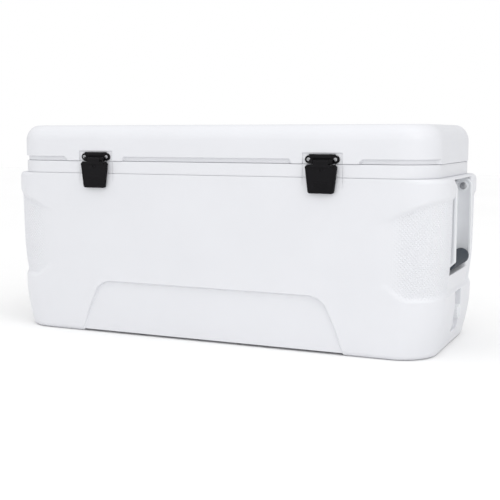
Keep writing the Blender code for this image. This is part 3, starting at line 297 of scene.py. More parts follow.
def polyurethane_foam():
    """Rigid polyurethane foam: pale straw, matt, with open cells a millimetre or so across."""
    made, tree, where, shader = new_material("rigid_polyurethane_foam")
    cells = add_node(tree, "ShaderNodeTexVoronoi", links={"Vector": where, "Scale": per_metre(1.6)})
    tone = add_node(tree, "ShaderNodeValToRGB", links={"Fac": cells.outputs["Distance"]})
    tone.color_ramp.elements[0].color = (*linear("CDB982"), 1.0)
    tone.color_ramp.elements[1].color = (*linear("EFE3BD"), 1.0)
    bump = add_node(tree, "ShaderNodeBump", links={
        "Height": cells.outputs["Distance"], "Strength": 0.6, "Distance": 0.5 * MM})
    tree.links.new(tone.outputs["Color"], shader.inputs["Base Color"])
    tree.links.new(bump.outputs["Normal"], shader.inputs["Normal"])
    shader.inputs["Roughness"].default_value = 0.9
    return made


def stainless_steel(tint):
    """Stainless steel, cold headed and tumbled: grey metal with fine streaks and small scuffs."""
    made, tree, where, shader = new_material("tumbled_stainless_steel")
    drawn = add_node(tree, "ShaderNodeMapping", links={"Vector": where, "Scale": (1.0, 6.0, 6.0)})
    streaks = add_node(tree, "ShaderNodeTexNoise", links={
        "Vector": drawn.outputs["Vector"], "Scale": per_metre(1.5), "Detail": 5.0, "Roughness": 0.7})
    tone = add_node(tree, "ShaderNodeValToRGB", links={"Fac": streaks.outputs["Fac"]})
    tone.color_ramp.elements[0].color = shaded(tint, 0.78)
    tone.color_ramp.elements[1].color = shaded(tint, 1.08)
    dull = add_node(tree, "ShaderNodeMapRange", links={
        "Value": streaks.outputs["Fac"], "To Min": 0.18, "To Max": 0.42})
    bump = add_node(tree, "ShaderNodeBump", links={
        "Height": streaks.outputs["Fac"], "Strength": 0.25, "Distance": 0.05 * MM})
    tree.links.new(tone.outputs["Color"], shader.inputs["Base Color"])
    tree.links.new(dull.outputs["Result"], shader.inputs["Roughness"])
    tree.links.new(bump.outputs["Normal"], shader.inputs["Normal"])
    shader.inputs["Metallic"].default_value = 1.0
    return made


def studio_board(tint):
    """Painted studio board: even, matt, with a breath of mottle."""
    return moulded("painted_studio_board", tint, 0.7, 0.04, 6.0, 0.05, 700, 0.006, 1.5)


# ---------------------------------------------------------------- mesh tools
def add_piece(name, vertices, faces, material, sharp=32.0, closed=True):
    """Makes a mesh object in the chest's space: welded, smooth, with edges over that angle kept sharp."""
    mesh = bpy.data.meshes.new(name)
    mesh.from_pydata([tuple(v) for v in vertices], [], [tuple(f) for f in faces])
    bm = bmesh.new()
    bm.from_mesh(mesh)
    bmesh.ops.remove_doubles(bm, verts=bm.verts, dist=0.004 * MM)
    bmesh.ops.dissolve_degenerate(bm, edges=bm.edges, dist=0.001 * MM)
    if closed:
        bmesh.ops.recalc_face_normals(bm, faces=bm.faces)
    bm.transform(Matrix.Translation((0, MIDDLE_Y, 0)))
    bm.to_mesh(mesh)
    bm.free()
    mesh.shade_smooth()
    mesh.set_sharp_from_angle(angle=math.radians(sharp))
    mesh.materials.append(material)
    made = bpy.data.objects.new(name, mesh)
    bpy.context.scene.collection.objects.link(made)
    return made


def fit(piece, body, slot, *nodes):
    """Parents the piece to the body it rides on and hides the nodes it stands for; slot, its finish, is not
    used.
    """
    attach(piece, body)
    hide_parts(*nodes)
    return piece


def joined(*solids):
    """One list of vertices and one of faces from several."""
    vertices, faces = [], []
    for some_vertices, some_faces in solids:
        start = len(vertices)
        vertices += [tuple(v) for v in some_vertices]
        faces += [tuple(i + start for i in f) for f in some_faces]
    return vertices, faces


def moved(solid, matrix):
    vertices, faces = solid
    return [tuple(matrix @ Vector(v)) for v in vertices], faces


def woven(points):
    """Quads over a rows x columns grid of points that closes round its columns."""
    rows, columns, _ = points.shape
    here = np.arange(rows * columns).reshape(rows, columns)
    below, above = here[:-1], here[1:]
    quads = np.stack([below, np.roll(below, -1, axis=1), np.roll(above, -1, axis=1), above], axis=-1)
    return points.reshape(-1, 3).tolist(), quads.reshape(-1, 4).tolist()


def outline(corners, inset=0.0, steps=5):
    """A convex polygon of (u, v, radius) corners, moved in by inset and rounded at each corner."""
    count = len(corners)
    edges = []
    for index in range(count):
        start = Vector(corners[index][:2])
        along = (Vector(corners[(index + 1) % count][:2]) - start).normalized()
        edges.append((start + Vector((-along.y, along.x)) * inset, along))
    points = []
    for index in range(count):
        (p, a), (q, b) = edges[index - 1], edges[index]
        reach = ((q.x - p.x) * b.y - (q.y - p.y) * b.x) / (a.x * b.y - a.y * b.x)
        turn = math.atan2(a.x * b.y - a.y * b.x, a.dot(b))
        radius = max(corners[index][2] - inset, 0.15 * MM)
        start = p + a * (reach - radius * math.tan(turn / 2))
        centre = start + Vector((-a.y, a.x)) * radius
        for step in range(steps + 1):
            ahead = Matrix.Rotation(turn * step / steps, 2) @ a
            points.append(centre - Vector((-ahead.y, ahead.x)) * radius)
    return points


def pressed(corners, levels, axis="Y", steps=5):
    """A solid through outlines at (height, inset) levels along an axis, capped at both ends."""
    rings = []
    for height, inset in levels:
        ring = outline(corners, inset, steps)
        if axis == "Y":
            rings.append([(p.x, height, p.y) for p in ring])
        elif axis == "X":
            rings.append([(height, p.x, p.y) for p in ring])
        else:
            rings.append([(p.x, p.y, height) for p in ring])
    vertices, faces = woven(np.array(rings))
    count = len(rings[0])
    faces.append(list(range(count))[::-1])
    faces.append([len(vertices) - count + i for i in range(count)])
    return vertices, faces


def slab(low, high, soften, axis="Y", corner=0.0):
    """A block with softened edges: low and high are opposite corners."""
    u, v, w = {"Y": (0, 2, 1), "X": (1, 2, 0), "Z": (0, 1, 2)}[axis]
    corner = max(corner, soften)
    corners = [(low[u], low[v], corner), (high[u], low[v], corner), (high[u], high[v], corner),
               (low[u], high[v], corner)]
    levels = softened(low[w], high[w], soften)
    return pressed(corners, levels, axis)


def softened(start, end, soften):
    """Levels from one height to another with both rims rounded."""
    steps = 3
    sign = 1 if end > start else -1
    near = [(start + sign * soften * (1 - math.cos(math.pi / 2 * k / steps)),
             soften * (1 - math.sin(math.pi / 2 * k / steps))) for k in range(steps + 1)]
    far = [(end - (height - start), inset) for height, inset in reversed(near)]
    return near + far


def turned(profile, place, axis, sides=40, ridge=None):
    """A solid of revolution: (radius, height) points along an axis from place; ridge varies the radius."""
    angles = np.linspace(0, 2 * math.pi, sides, endpoint=False)
    radius = np.array([p[0] for p in profile])[:, None]
    height = np.array([p[1] for p in profile])[:, None]
    radius = radius + (ridge(radius, height, angles[None, :]) if ridge else 0.0)
    u, v = radius * np.cos(angles), radius * np.sin(angles)
    w = height + np.zeros_like(u)
    order = {"X": (w, u, v), "-X": (-w, -u, v), "Y": (v, w, u), "-Y": (-v, -w, u), "Z": (u, v, w)}[axis]
    points = np.stack(order, axis=-1) + np.array(place)
    return woven(points)


def rounded_rim(radius, height, soften, steps=4):
    """Profile points that round a rim of that radius over to its face at that height."""
    return [(radius - soften * (1 - math.cos(math.pi / 2 * k / steps)),
             height - soften * (1 - math.sin(math.pi / 2 * k / steps))) for k in range(steps + 1)]


# ---------------------------------------------------------------- skins round a rounded rectangle
def smoothstep(value, low, high):
    t = np.clip((value - low) / (high - low), 0.0, 1.0)
    return t * t * (3 - 2 * t)


def columns(front, end, turns):
    """Columns round a rounded rectangle from the front's left end: which side, and the place on it."""
    corner = np.linspace(0.0, 90.0, turns + 2)[1:-1]
    sides = (front, corner, end, corner, front[::-1], corner, end[::-1], corner)
    which = np.concatenate([np.full(len(values), index) for index, values in enumerate(sides)])
    return which, np.concatenate(sides)


def stretched(value, keep, nominal, actual):
    """A column's place on a straight side whose half length is actual."""
    keep = np.clip(actual - 20 * MM, 0.0, keep)
    beyond = keep + (np.abs(value) - keep) * (actual - keep) / (nominal - keep)
    return np.where(np.abs(value) <= keep, value, np.sign(value) * beyond)


def around(which, value, half_x, half_y, corner):
    """Point and outward direction of each column on a section."""
    flat_x, flat_y = half_x - corner, half_y - corner
    along_x = stretched(value, FRONT_KEEP, FRONT_FLAT, flat_x)
    along_y = stretched(value, END_KEEP, END_FLAT, flat_y)
    angle = np.radians(value + 45.0 * (which - 1) - 90.0)
    sign_x = np.select([(which == 1) | (which == 3), (which == 5) | (which == 7)], [1.0, -1.0], 0.0)
    sign_y = np.select([(which == 1) | (which == 7), (which == 3) | (which == 5)], [-1.0, 1.0], 0.0)
    conditions = [which == 0, which == 2, which == 4, which == 6]
    x = np.select(conditions, [along_x, half_x, along_x, -half_x],
                  sign_x * flat_x + corner * np.cos(angle))
    y = np.select(conditions, [-half_y, along_y, half_y, along_y],
                  sign_y * flat_y + corner * np.sin(angle))
    nx = np.select(conditions, [0.0, 1.0, 0.0, -1.0], np.cos(angle))
    ny = np.select(conditions, [-1.0, 0.0, 1.0, 0.0], np.sin(angle))
    return x, y, nx, ny


def sunk(distance, depth, outer, inner):
    """Depth of a pocket by the distance to its edge: rounded over, a steep wall, a fillet and the floor."""
    over = outer - np.sqrt(np.clip(outer ** 2 - (outer - np.clip(distance, 0, outer)) ** 2, 0, None))
    wall = outer + (depth - inner - outer) * np.clip(-distance / BAY_DRAFT, 0, 1)
    sweep = np.clip(-distance - BAY_DRAFT, 0, inner)
    fillet = depth - inner + np.sqrt(np.clip(inner ** 2 - (inner - sweep) ** 2, 0, None))
    return np.where(distance > 0, over, np.where(distance > -BAY_DRAFT, wall, fillet))


def sunk_stops(outer, inner):
    """Distances from an edge where a pocket's wall needs a row or a column."""
    return np.concatenate([outer * np.array([1.15, 0.7, 0.4, 0.18, 0.05, 0.0]),
                           -BAY_DRAFT - inner * np.array([0.0, 0.1, 0.3, 0.6, 1.0, 1.3])])


def spaced(low, high, pitch, *stops):
    """Sorted places every pitch from low to high, with the stops put in and crowded ones left out."""
    fixed = np.unique(np.concatenate([[low, high], *[np.atleast_1d(s) for s in stops]]).round(6))
    fixed = fixed[(fixed >= low) & (fixed <= high)]
    places = [fixed[0]]
    for following in fixed[1:]:
        parts = max(int(math.ceil((following - places[-1]) / pitch)), 1)
        places += list(np.linspace(places[-1], following, parts + 1)[1:])
    return np.array(places)


def mirrored(values):
    values = np.abs(np.atleast_1d(values))
    return np.concatenate([-values, values])


# ---------------------------------------------------------------- outer shell
def softened_profile(column):
    """The shell's profile as an even curve over height."""
    heights = np.arange(0.0, 0.3830, 0.5 * MM)
    table = np.array(SHELL_PROFILE)
    curve = np.interp(heights, table[:, 0], table[:, column])
    for _ in range(3):
        curve = np.convolve(np.pad(curve, 6, mode="edge"), np.ones(13) / 13, mode="valid")
    return heights, curve


END_CURVE = softened_profile(1)
FRONT_CURVE = softened_profile(2)


def recess_share(x, z):
    """1 inside the textured recess round each corner, 0 outside it."""
    across = np.abs(x)
    top = np.interp(across, *zip(*SHOULDER_EDGE))
    foot = np.interp(across, *zip(*PAD_EDGE))
    upper = 1.0 - smoothstep(z, top - 7 * MM, top + 6 * MM)
    lower = smoothstep(z, foot - 3 * MM, foot + 9 * MM)
    return upper * lower * smoothstep(across, RECESS_START, RECESS_FULL)


def shell_surface(which, value, z, pull, depth):
    """Points of the outer shell at columns and heights; pull moves the section and ledge in."""
    ledge = (z > PARTING_Z / 2) * pull
    half_x = RIM_X + np.interp(z, *END_CURVE) - pull
    half_y = RIM_Y + np.interp(z, *FRONT_CURVE) - pull + 0.95 * ledge
    corner = np.maximum(SHELL_CORNER - pull + ledge, 0.0)
    lean = np.interp(z, *zip(*PANEL_SIDE)) - PANEL_COLUMN
    share = np.interp(np.abs(value), (0.15, PANEL_COLUMN, 0.42), (0.0, 1.0, 0.0))
    long_side = (which == 0) | (which == 4)
    value = np.where(long_side, value + np.sign(value) * lean * share, value)
    x, y, nx, ny = around(which, value, half_x, half_y, corner)

    recess = recess_share(x, z) * depth * (1.0 - 0.25 * np.abs(nx))
    scuttle = smoothstep(z, 0.350, 0.378) * pocket_share(x, 0.5 * MM, 1.5 * MM) * (ny < -0.9) * 1.1 * MM
    x = x - nx * (recess + scuttle)
    y = y - ny * (recess + scuttle)

    side = np.interp(z, *zip(*PANEL_SIDE))
    inside = -np.maximum(z - PANEL_TOP_Z, np.abs(x) - side)
    dished = smoothstep(inside, 0.0, 4.0 * MM)
    y = np.where(which == 0, y + (np.maximum(y, -PANEL_Y) - y) * dished, y)

    end = (which == 2) | (which == 6)
    reach = np.abs(x)
    across, upright = np.abs(y) - BAY_HALF, np.maximum(BAY_LOW_Z - z, z - BAY_HIGH_Z)
    deep = reach - BAY_BACK_X
    bay = np.minimum(sunk(across, deep, JAMB_ROUND, BAY_FILLET),
                     sunk(upright, deep, BAY_EDGE, BAY_FILLET))
    arch = np.hypot(np.maximum(np.abs(y) - POCKET_HALF + POCKET_ROUND, 0.0),
                    np.maximum(z - POCKET_HIGH_Z + POCKET_ROUND, 0.0)) - POCKET_ROUND
    arch = np.maximum(arch, POCKET_LOW_Z - z)
    scoop = smoothstep(-arch, -1.0 * MM, 7.0 * MM) * POCKET_DEPTH
    drain_edge = np.maximum(np.abs(y) - DRAIN_HALF, np.maximum(DRAIN_LOW_Z - z, z - DRAIN_HIGH_Z))
    drain = np.where(which == 2, sunk(drain_edge, reach - DRAIN_BACK_X, BAY_EDGE, BAY_FILLET), 0.0)
    drain = np.where(drain_edge > BAY_EDGE, 0.0, drain)
    x = np.where(end, np.sign(x) * (reach - bay - scoop - drain), x)

    rise = FOOT_RISE * (1.0 - smoothstep(np.abs(x), side - 5 * MM, side + 1 * MM))
    return np.stack(np.broadcast_arrays(x, y, np.maximum(z, rise)), axis=-1)


def pocket_share(x, inner, outer):
    """1 inside the latch pockets seen along the front, 0 outside, with soft sides."""
    return 1.0 - smoothstep(np.abs(np.abs(x) - LATCH_X), LATCH_POCKET_HALF - inner,
                            LATCH_POCKET_HALF + outer)


def shell_columns():
    bay = BAY_HALF + sunk_stops(JAMB_ROUND, BAY_FILLET)
    drain = DRAIN_HALF + sunk_stops(BAY_EDGE, BAY_FILLET)
    panel = PANEL_COLUMN + np.array([1.5, 0.6, 0.0, -0.6, -1.2, -2.0, -2.8, -3.6, -4.2]) * MM
    latch = np.concatenate([LATCH_X + (LATCH_POCKET_HALF + np.array([-1.0, -0.4, 0.2, 0.8, 1.6]) * MM),
                            LATCH_X - (LATCH_POCKET_HALF + np.array([-1.0, -0.4, 0.2, 0.8, 1.6]) * MM)])
    front = spaced(-FRONT_FLAT, FRONT_FLAT, 7 * MM, mirrored(panel), mirrored(latch), 0.0,
                   mirrored(np.arange(0.404, 0.4440, 4 * MM)))
    end = spaced(-END_FLAT, END_FLAT, 2.2 * MM, mirrored(bay), mirrored(drain), 0.0)
    return columns(front, end, 22)


def shell_rows():
    """Heights and pulls of the shell's rows, from the middle of its underside to its hidden neck."""
    half = RIM_Y - 4.5 * MM
    under = [(0.0, pull) for pull in np.linspace(half, BOTTOM_ROUND, 16)]
    angles = np.linspace(0, math.pi / 2, 9)[1:]
    under += [(BOTTOM_ROUND * (1 - math.cos(a)), BOTTOM_ROUND * (1 - math.sin(a))) for a in angles]
    edges = np.concatenate([BAY_LOW_Z - sunk_stops(BAY_EDGE, BAY_FILLET),
                            BAY_HIGH_Z + sunk_stops(BAY_EDGE, BAY_FILLET),
                            DRAIN_LOW_Z - sunk_stops(BAY_EDGE, BAY_FILLET),
                            DRAIN_HIGH_Z + sunk_stops(BAY_EDGE, BAY_FILLET)])
    panel = PANEL_TOP_Z - np.array([-1.5, -0.5, 0.0, 0.6, 1.2, 2.0, 2.8, 3.6, 4.2]) * MM
    ledge = SKIRT_Z - 0.3 * MM
    walls = spaced(BOTTOM_ROUND + 2 * MM, ledge, 3.2 * MM, edges[edges > BOTTOM_ROUND + 2 * MM], panel,
                   ledge - SHOULDER_ROUND * np.array([1.0, 0.8, 0.6, 0.4, 0.25, 0.14, 0.06, 0.02]))
    rise = np.clip((walls - ledge + SHOULDER_ROUND) / SHOULDER_ROUND, 0.0, 1.0)
    pulls = SHOULDER_ROUND * 0.85 * (1 - np.sqrt(1 - rise ** 2))
    return np.array(under + list(zip(walls, pulls)))


def build_shell(depth, material):
    which, value = shell_columns()
    rows = shell_rows()
    points = shell_surface(which[None, :], value[None, :], rows[:, :1], rows[:, 1:], depth)
    neck_in = WALL + 0.3 * MM
    last = rows[-1, 0]
    for height in (last, PARTING_Z - 4 * MM):
        x, y, _, _ = around(which, value, RIM_X - neck_in, RIM_Y - neck_in, RIM_CORNER - neck_in)
        ring = np.stack(np.broadcast_arrays(x, y, height), axis=-1)[None]
        points = np.concatenate([points, ring])
    piece = add_piece("shell_skin", *woven(points), material, sharp=40.0, closed=False)
    return fit(piece, "cooler_body", "white_shell", "body_shell")


def build_studs(sizes, material):
    """Staggered diamond studs over the recess of each corner."""
    pitch, depth = sizes.stud_pitch, sizes.recess_depth
    arc = SHELL_CORNER * math.pi / 2
    first, last = -0.040, arc + END_FLAT - BAY_HALF - JAMB_ROUND - 1 * MM
    half_u, half_v = pitch * 0.40, pitch * 0.40
    offsets = ((0, 0), (half_u, 0), (0, half_v), (-half_u, 0), (0, -half_v))
    vertices, faces = [], []
    level, row = 0.128, 0
    while level < 0.336:
        start = first + (pitch / 2 if row % 2 else 0.0)
        run = np.arange(start, last - half_u, pitch)
        stack = []
        for du, dv in offsets:
            stack.append(corner_point(run + du, level + dv, depth))
        stack = np.array(stack)
        for index in range(len(run)):
            centre, right, top, left, foot = stack[:, index]
            full = recess_share(centre[0], level) * smoothstep(centre[0], 0.400, 0.462)
            if full < 0.12:
                continue
            outward = np.cross(right - left, top - foot)
            outward = outward / np.linalg.norm(outward)
            sink = outward * 0.25 * MM
            base = [p - sink for p in (right, top, left, foot)]
            apex = centre + outward * sizes.stud_height * full
            crown = [apex + (p - centre) * 0.28 - outward * 0.05 * MM for p in (right, top, left, foot)]
            begin = len(vertices)
            vertices += base + crown
            faces.append(tuple(begin + k for k in (4, 5, 6, 7)))
            faces.append(tuple(begin + k for k in (3, 2, 1, 0)))
            for k in range(4):
                faces.append((begin + k, begin + (k + 1) % 4, begin + 4 + (k + 1) % 4, begin + 4 + k))
        level += pitch / 2
        row += 1
    corner = (vertices, faces)
    flips = [Matrix.Diagonal((sx, sy, 1, 1)) for sx in (1, -1) for sy in (1, -1)]
    piece = add_piece("shell_corner_studs", *joined(*[moved(corner, flip) for flip in flips]), material,
                      sharp=20.0)
    return fit(piece, "cooler_body", "white_shell")


def corner_point(run, z, depth):
    """Surface point by the distance round the front right corner, from where the corner starts."""
    arc = SHELL_CORNER * math.pi / 2
    which = np.where(run < 0, 0, np.where(run < arc, 1, 2))
    value = np.where(run < 0, FRONT_FLAT + run,
                     np.where(run < arc, run / arc * 90.0, run - arc - END_FLAT))
    return shell_surface(which, value, np.full_like(run, z), np.zeros_like(run), depth)


# ---------------------------------------------------------------- tub, rim and lid
def skin(rows, which, value, relief=None):
    """A skin through (height, half length, half width, corner) sections; relief lets it in."""
    rows = np.array(rows)
    z, half_x, half_y, corner = (rows[:, i:i + 1] for i in range(4))
    x, y, nx, ny = around(which[None, :], value[None, :], half_x, half_y, np.maximum(corner, 0.0))
    if relief is not None:
        let_in = relief(x, y, z, nx, ny)
        x, y = x - nx * let_in, y - ny * let_in
    return np.stack(np.broadcast_arrays(x, y, z), axis=-1)


def inset_rows(section, heights_and_insets):
    """Rows from one section, each at (height, inset)."""
    half_x, half_y, corner = section
    return [(z, half_x - inset, half_y - inset, max(corner - inset, 0.0)) for z,
            inset in heights_and_insets]


def to_middle(section, z, first, count):
    """Rows that take a section in to its middle line."""
    half_y = section[1]
    return inset_rows(section, [(z, inset) for inset in np.linspace(first, half_y, count)])


def quarter(z, inset, high, wide, steps=5, rising=True):
    """(height, inset) points of a rounded edge: up then in, or in then down."""
    made = []
    for k in range(steps + 1):
        angle = math.pi / 2 * k / steps
        if rising:
            made.append((z + high * math.sin(angle), inset + wide * (1 - math.cos(angle))))
        else:
            made.append((z - high * (1 - math.cos(angle)), inset + wide * math.sin(angle)))
    return made


def smooth_columns():
    latch = np.array([-1.6, -0.8, -0.2, 0.4, 1.0, 1.8]) * MM
    edge = np.arange(-2, 12, 1.4) * MM
    stops = [LATCH_X + side * (half + latch) for half in (LATCH_POCKET_HALF, 20 * MM) for side in (1, -1)]
    stops += [LATCH_X + 79 * MM + edge, LATCH_X - 78 * MM + edge]
    front = spaced(-FRONT_FLAT, FRONT_FLAT, 12 * MM, mirrored(np.concatenate(stops)), 0.0)
    end = spaced(-END_FLAT, END_FLAT, 12 * MM, 0.0)
    return columns(front, end, 20)


def tub_section(z):
    lean = TUB_DRAFT * min(max((PARTING_Z - z) / (PARTING_Z - TUB_FLOOR_Z), 0.0), 1.0)
    return TUB_X - lean, TUB_Y - lean, TUB_CORNER


def build_liner(material):
    """Tub, rim and skirt in one closed skin, from under the floor over the rim to the floor."""
    which, value = smooth_columns()
    rim = (RIM_X, RIM_Y, RIM_CORNER)
    floor = tub_section(TUB_FLOOR_Z)
    outside = (floor[0] + WALL, floor[1] + WALL, floor[2] + WALL)
    rows = to_middle(outside, TUB_FLOOR_Z - WALL, TUB_FILLET + WALL, 8)[::-1]
    round_outer = TUB_FILLET + WALL
    rows += inset_rows(outside, [(TUB_FLOOR_Z - WALL + round_outer * (1 - math.cos(a)),
                                  round_outer * (1 - math.sin(a)))
                                 for a in np.linspace(0, math.pi / 2, 6)[1:]])
    under_rim = PARTING_Z - WALL
    rows.append((under_rim, TUB_X + WALL, TUB_Y + WALL, TUB_CORNER + WALL))
    rows += inset_rows(rim, [(under_rim, WALL), (SKIRT_Z, WALL), (SKIRT_Z, 0.4 * MM)])
    rows += inset_rows(rim, [(SKIRT_Z + 0.1 * MM, 0.1 * MM), (SKIRT_Z + 0.4 * MM, 0.0)])
    rows += inset_rows(rim, [(z, 0.0) for z in np.linspace(SKIRT_Z + 4 * MM, PARTING_Z - 1.5 * MM, 7)])
    rows += inset_rows(rim, quarter(PARTING_Z - 1.5 * MM, 0.0, 1.5 * MM, 1.5 * MM)[1:])
    for share in (0.33, 0.66):
        rows.append((PARTING_Z, RIM_X - 52 * MM * share, RIM_Y - 36 * MM * share,
                     RIM_CORNER - 28 * MM * share))
    mouth = (TUB_X + 2.5 * MM, TUB_Y + 2.5 * MM, TUB_CORNER + 2.5 * MM)
    rows += inset_rows(mouth, quarter(PARTING_Z, 0.0, 2.5 * MM, 2.5 * MM, rising=False))
    for z in np.linspace(PARTING_Z - 12 * MM, TUB_FLOOR_Z + TUB_FILLET, 12):
        rows.append((z, *tub_section(z)))
    rows += inset_rows(floor, [(TUB_FLOOR_Z + TUB_FILLET * (1 - math.sin(a)),
                                TUB_FILLET * (1 - math.cos(a)))
                               for a in np.linspace(0, math.pi / 2, 7)[1:]])
    rows += to_middle(floor, TUB_FLOOR_Z, TUB_FILLET, 12)[1:]
    rows = np.array(rows)
    outer = rim_relief_rows(rows)

    def relief(x, y, z, nx, ny):
        beside = smoothstep(np.abs(np.abs(x) - LATCH_X), 18.5 * MM, 20.5 * MM)
        return outer * (ny < -0.9) * pocket_share(x, 0.5 * MM, 1.5 * MM) * beside * 1.1 * MM

    piece = add_piece("tub_and_rim", *woven(skin(rows, which, value, relief)), material, closed=False)
    return fit(piece, "cooler_body", "white_liner", "body_liner")


def build_body_core(material):
    """The foam between shell and tub: outside, up behind the bays, and down round the tub."""
    which, value = columns(spaced(-FRONT_FLAT, FRONT_FLAT, 60 * MM), spaced(-END_FLAT, END_FLAT, 40 * MM),
                           6)
    behind_bay = BAY_BACK_X - POCKET_DEPTH - WALL
    tub_floor = tub_section(TUB_FLOOR_Z)
    grown = WALL + 0.5 * MM
    outside = [(0.012, RIM_X - 0.032, RIM_Y - 0.034), (0.030, RIM_X - 0.020, RIM_Y - 0.020),
               (0.120, RIM_X - 0.020, RIM_Y - 0.018),
               (0.140, behind_bay, RIM_Y - 0.012), (PARTING_Z - 8 * MM, behind_bay, RIM_Y - 0.010)]
    rows = to_middle((RIM_X - 0.032, RIM_Y - 0.034, 0.05), 0.012, 0.0, 4)[::-1]
    rows += [(z, half_x, half_y, 0.055) for z, half_x, half_y in outside[1:]]
    rows.append((PARTING_Z - 8 * MM, TUB_X + grown, TUB_Y + grown, TUB_CORNER + grown))
    bowl = TUB_FILLET + grown
    for angle in np.radians([90, 72, 54, 36, 18, 0]):
        out = bowl * math.sin(angle) - TUB_FILLET
        rows.append((TUB_FLOOR_Z + TUB_FILLET - bowl * math.cos(angle), tub_floor[0] + out,
                     tub_floor[1] + out,
                     TUB_CORNER + out))
    rows += to_middle(tub_floor, TUB_FLOOR_Z - grown, TUB_FILLET + 1 * MM, 4)
    piece = add_piece("body_core", *woven(skin(rows, which, value)), material, closed=False)
    return fit(piece, "cooler_body", "insulating_foam", "body_foam")


def rim_relief_rows(rows):
    """1 on the rows of the skirt's outer face, 0 elsewhere."""
    on_face = (np.abs(rows[:, 1] - RIM_X) < 1.6 * MM) & (rows[:, 0] < PARTING_Z - 0.1 * MM)
    return on_face[:, None].astype(float)


def build_lid(sizes, material):
    """The lid's outer moulding, from a hidden lip, round its lower edge and up to its crown."""
    which, value = smooth_columns()
    outer = (LID_X, LID_Y, RIM_CORNER + 1.5 * MM)
    low = LID_BOTTOM_Z
    rows = inset_rows(outer, [(low + 9 * MM, 6.9 * MM), (low, 6.9 * MM), (low, 0.8 * MM),
                              (low + 0.25 * MM, 0.25 * MM), (low + 0.8 * MM, 0.0)])
    groove = GROOVE_TOP_Z + np.array([-7, -4, -1.6, -1.0, -0.5, 0.0, 0.5, 1.0, 1.6]) * MM
    pocket = LATCH_POCKET_TOP_Z + np.array([-3, -1.6, -1.0, -0.5, 0.0, 0.5, 1.0, 1.6]) * MM
    shoulder = LID_TOP_Z - 38 * MM
    walls = spaced(low + 2 * MM, shoulder, 5 * MM, groove, pocket)
    rows += inset_rows(outer, [(z, 0.0) for z in walls])
    rows += inset_rows(outer, quarter(shoulder, 0.0, 38 * MM, 32 * MM, 16)[1:])
    crown = [(LID_TOP_Z, 34 * MM), (LID_TOP_Z, 46 * MM)]
    crown += [(LID_TOP_Z - sizes.crown_field * share, 46 * MM + run * MM)
              for share, run in ((0.08, 1.5), (0.5, 4.0), (0.92, 6.5), (1.0, 8.0))]
    rows += inset_rows(outer, crown)
    rows += to_middle(outer, LID_TOP_Z - sizes.crown_field, 56 * MM, 12)

    def relief(x, y, z, nx, ny):
        below = 1.0 - smoothstep(z, GROOVE_TOP_Z - 0.7 * MM, GROOVE_TOP_Z + 0.7 * MM)
        front = 1.0 - smoothstep(y, GROOVE_END_Y - 3 * MM, GROOVE_END_Y)
        flare = np.clip((z - low) / (GROOVE_TOP_Z - low), 0, 1)
        outer_half, inner_half = (80 + 9 * flare) * MM, (71 + 5 * flare) * MM
        past = smoothstep(np.abs(x) - LATCH_X - outer_half, -1.5 * MM, 1.5 * MM)
        past = past + smoothstep(LATCH_X - inner_half - np.abs(x), -1.5 * MM, 1.5 * MM)
        groove_in = sizes.groove_depth * below * front * past
        under = 1.0 - smoothstep(z, LATCH_POCKET_TOP_Z - 0.8 * MM, LATCH_POCKET_TOP_Z + 0.8 * MM)
        pocket_in = 3.0 * MM * under * pocket_share(x, 0.5 * MM, 1.0 * MM) * (ny < -0.9)
        return np.maximum(groove_in, pocket_in) * (z > low - 1 * MM)

    points = skin(rows, which, value, relief)
    inner = skin(rows[:2], which, value)
    points[:2] = inner
    piece = add_piece("lid_moulding", *woven(points), material, sharp=40.0, closed=False)
    return fit(piece, "lid", "white_shell", "lid_shell")


def build_lid_liner(material):
    """The lid's underside: a flange and a plug that drops into the tub, with a sunken field."""
    which, value = smooth_columns()
    plug = (TUB_X - 4 * MM, TUB_Y - 4 * MM, TUB_CORNER - 4 * MM)
    flange = (LID_X - 7.3 * MM, LID_Y - 7.3 * MM, RIM_CORNER + 1.5 * MM - 7.3 * MM)
    foot = PARTING_Z - 12 * MM
    rows = to_middle(plug, foot + 2.5 * MM, 42 * MM, 10)[::-1]
    rows += inset_rows(plug, [(foot + 2.3 * MM, 40 * MM), (foot + 1.2 * MM, 37 * MM),
                              (foot + 0.2 * MM, 34 * MM),
                              (foot, 32 * MM), (foot, 7 * MM)])
    rows += inset_rows(plug, [(foot + 4 * MM * (1 - math.cos(a)), 3 * MM + 4 * MM * (1 - math.sin(a)))
                              for a in np.linspace(0, math.pi / 2, 6)])
    rows += inset_rows(plug, [(LID_BOTTOM_Z - 2 * MM, 0.4 * MM), (LID_BOTTOM_Z - 0.6 * MM, 0.0),
                              (LID_BOTTOM_Z, -1.5 * MM)])
    rows += inset_rows(flange, [(LID_BOTTOM_Z, 20 * MM), (LID_BOTTOM_Z, 0.6 * MM),
                                (LID_BOTTOM_Z + 0.6 * MM, 0.0),
                                (LID_BOTTOM_Z + 12 * MM, 0.0), (LID_BOTTOM_Z + 12 * MM, WALL),
                                (LID_BOTTOM_Z + WALL, WALL)])
    top = LID_BOTTOM_Z + WALL
    rows += inset_rows(plug, [(top, WALL), (foot + WALL + 2.5 * MM, 6 * MM)])
    rows += to_middle(plug, foot + WALL + 2.5 * MM, 10 * MM, 6)
    piece = add_piece("lid_underside", *woven(skin(rows, which, value)), material, sharp=40.0,
                      closed=False)
    return fit(piece, "lid", "white_liner", "lid_liner")


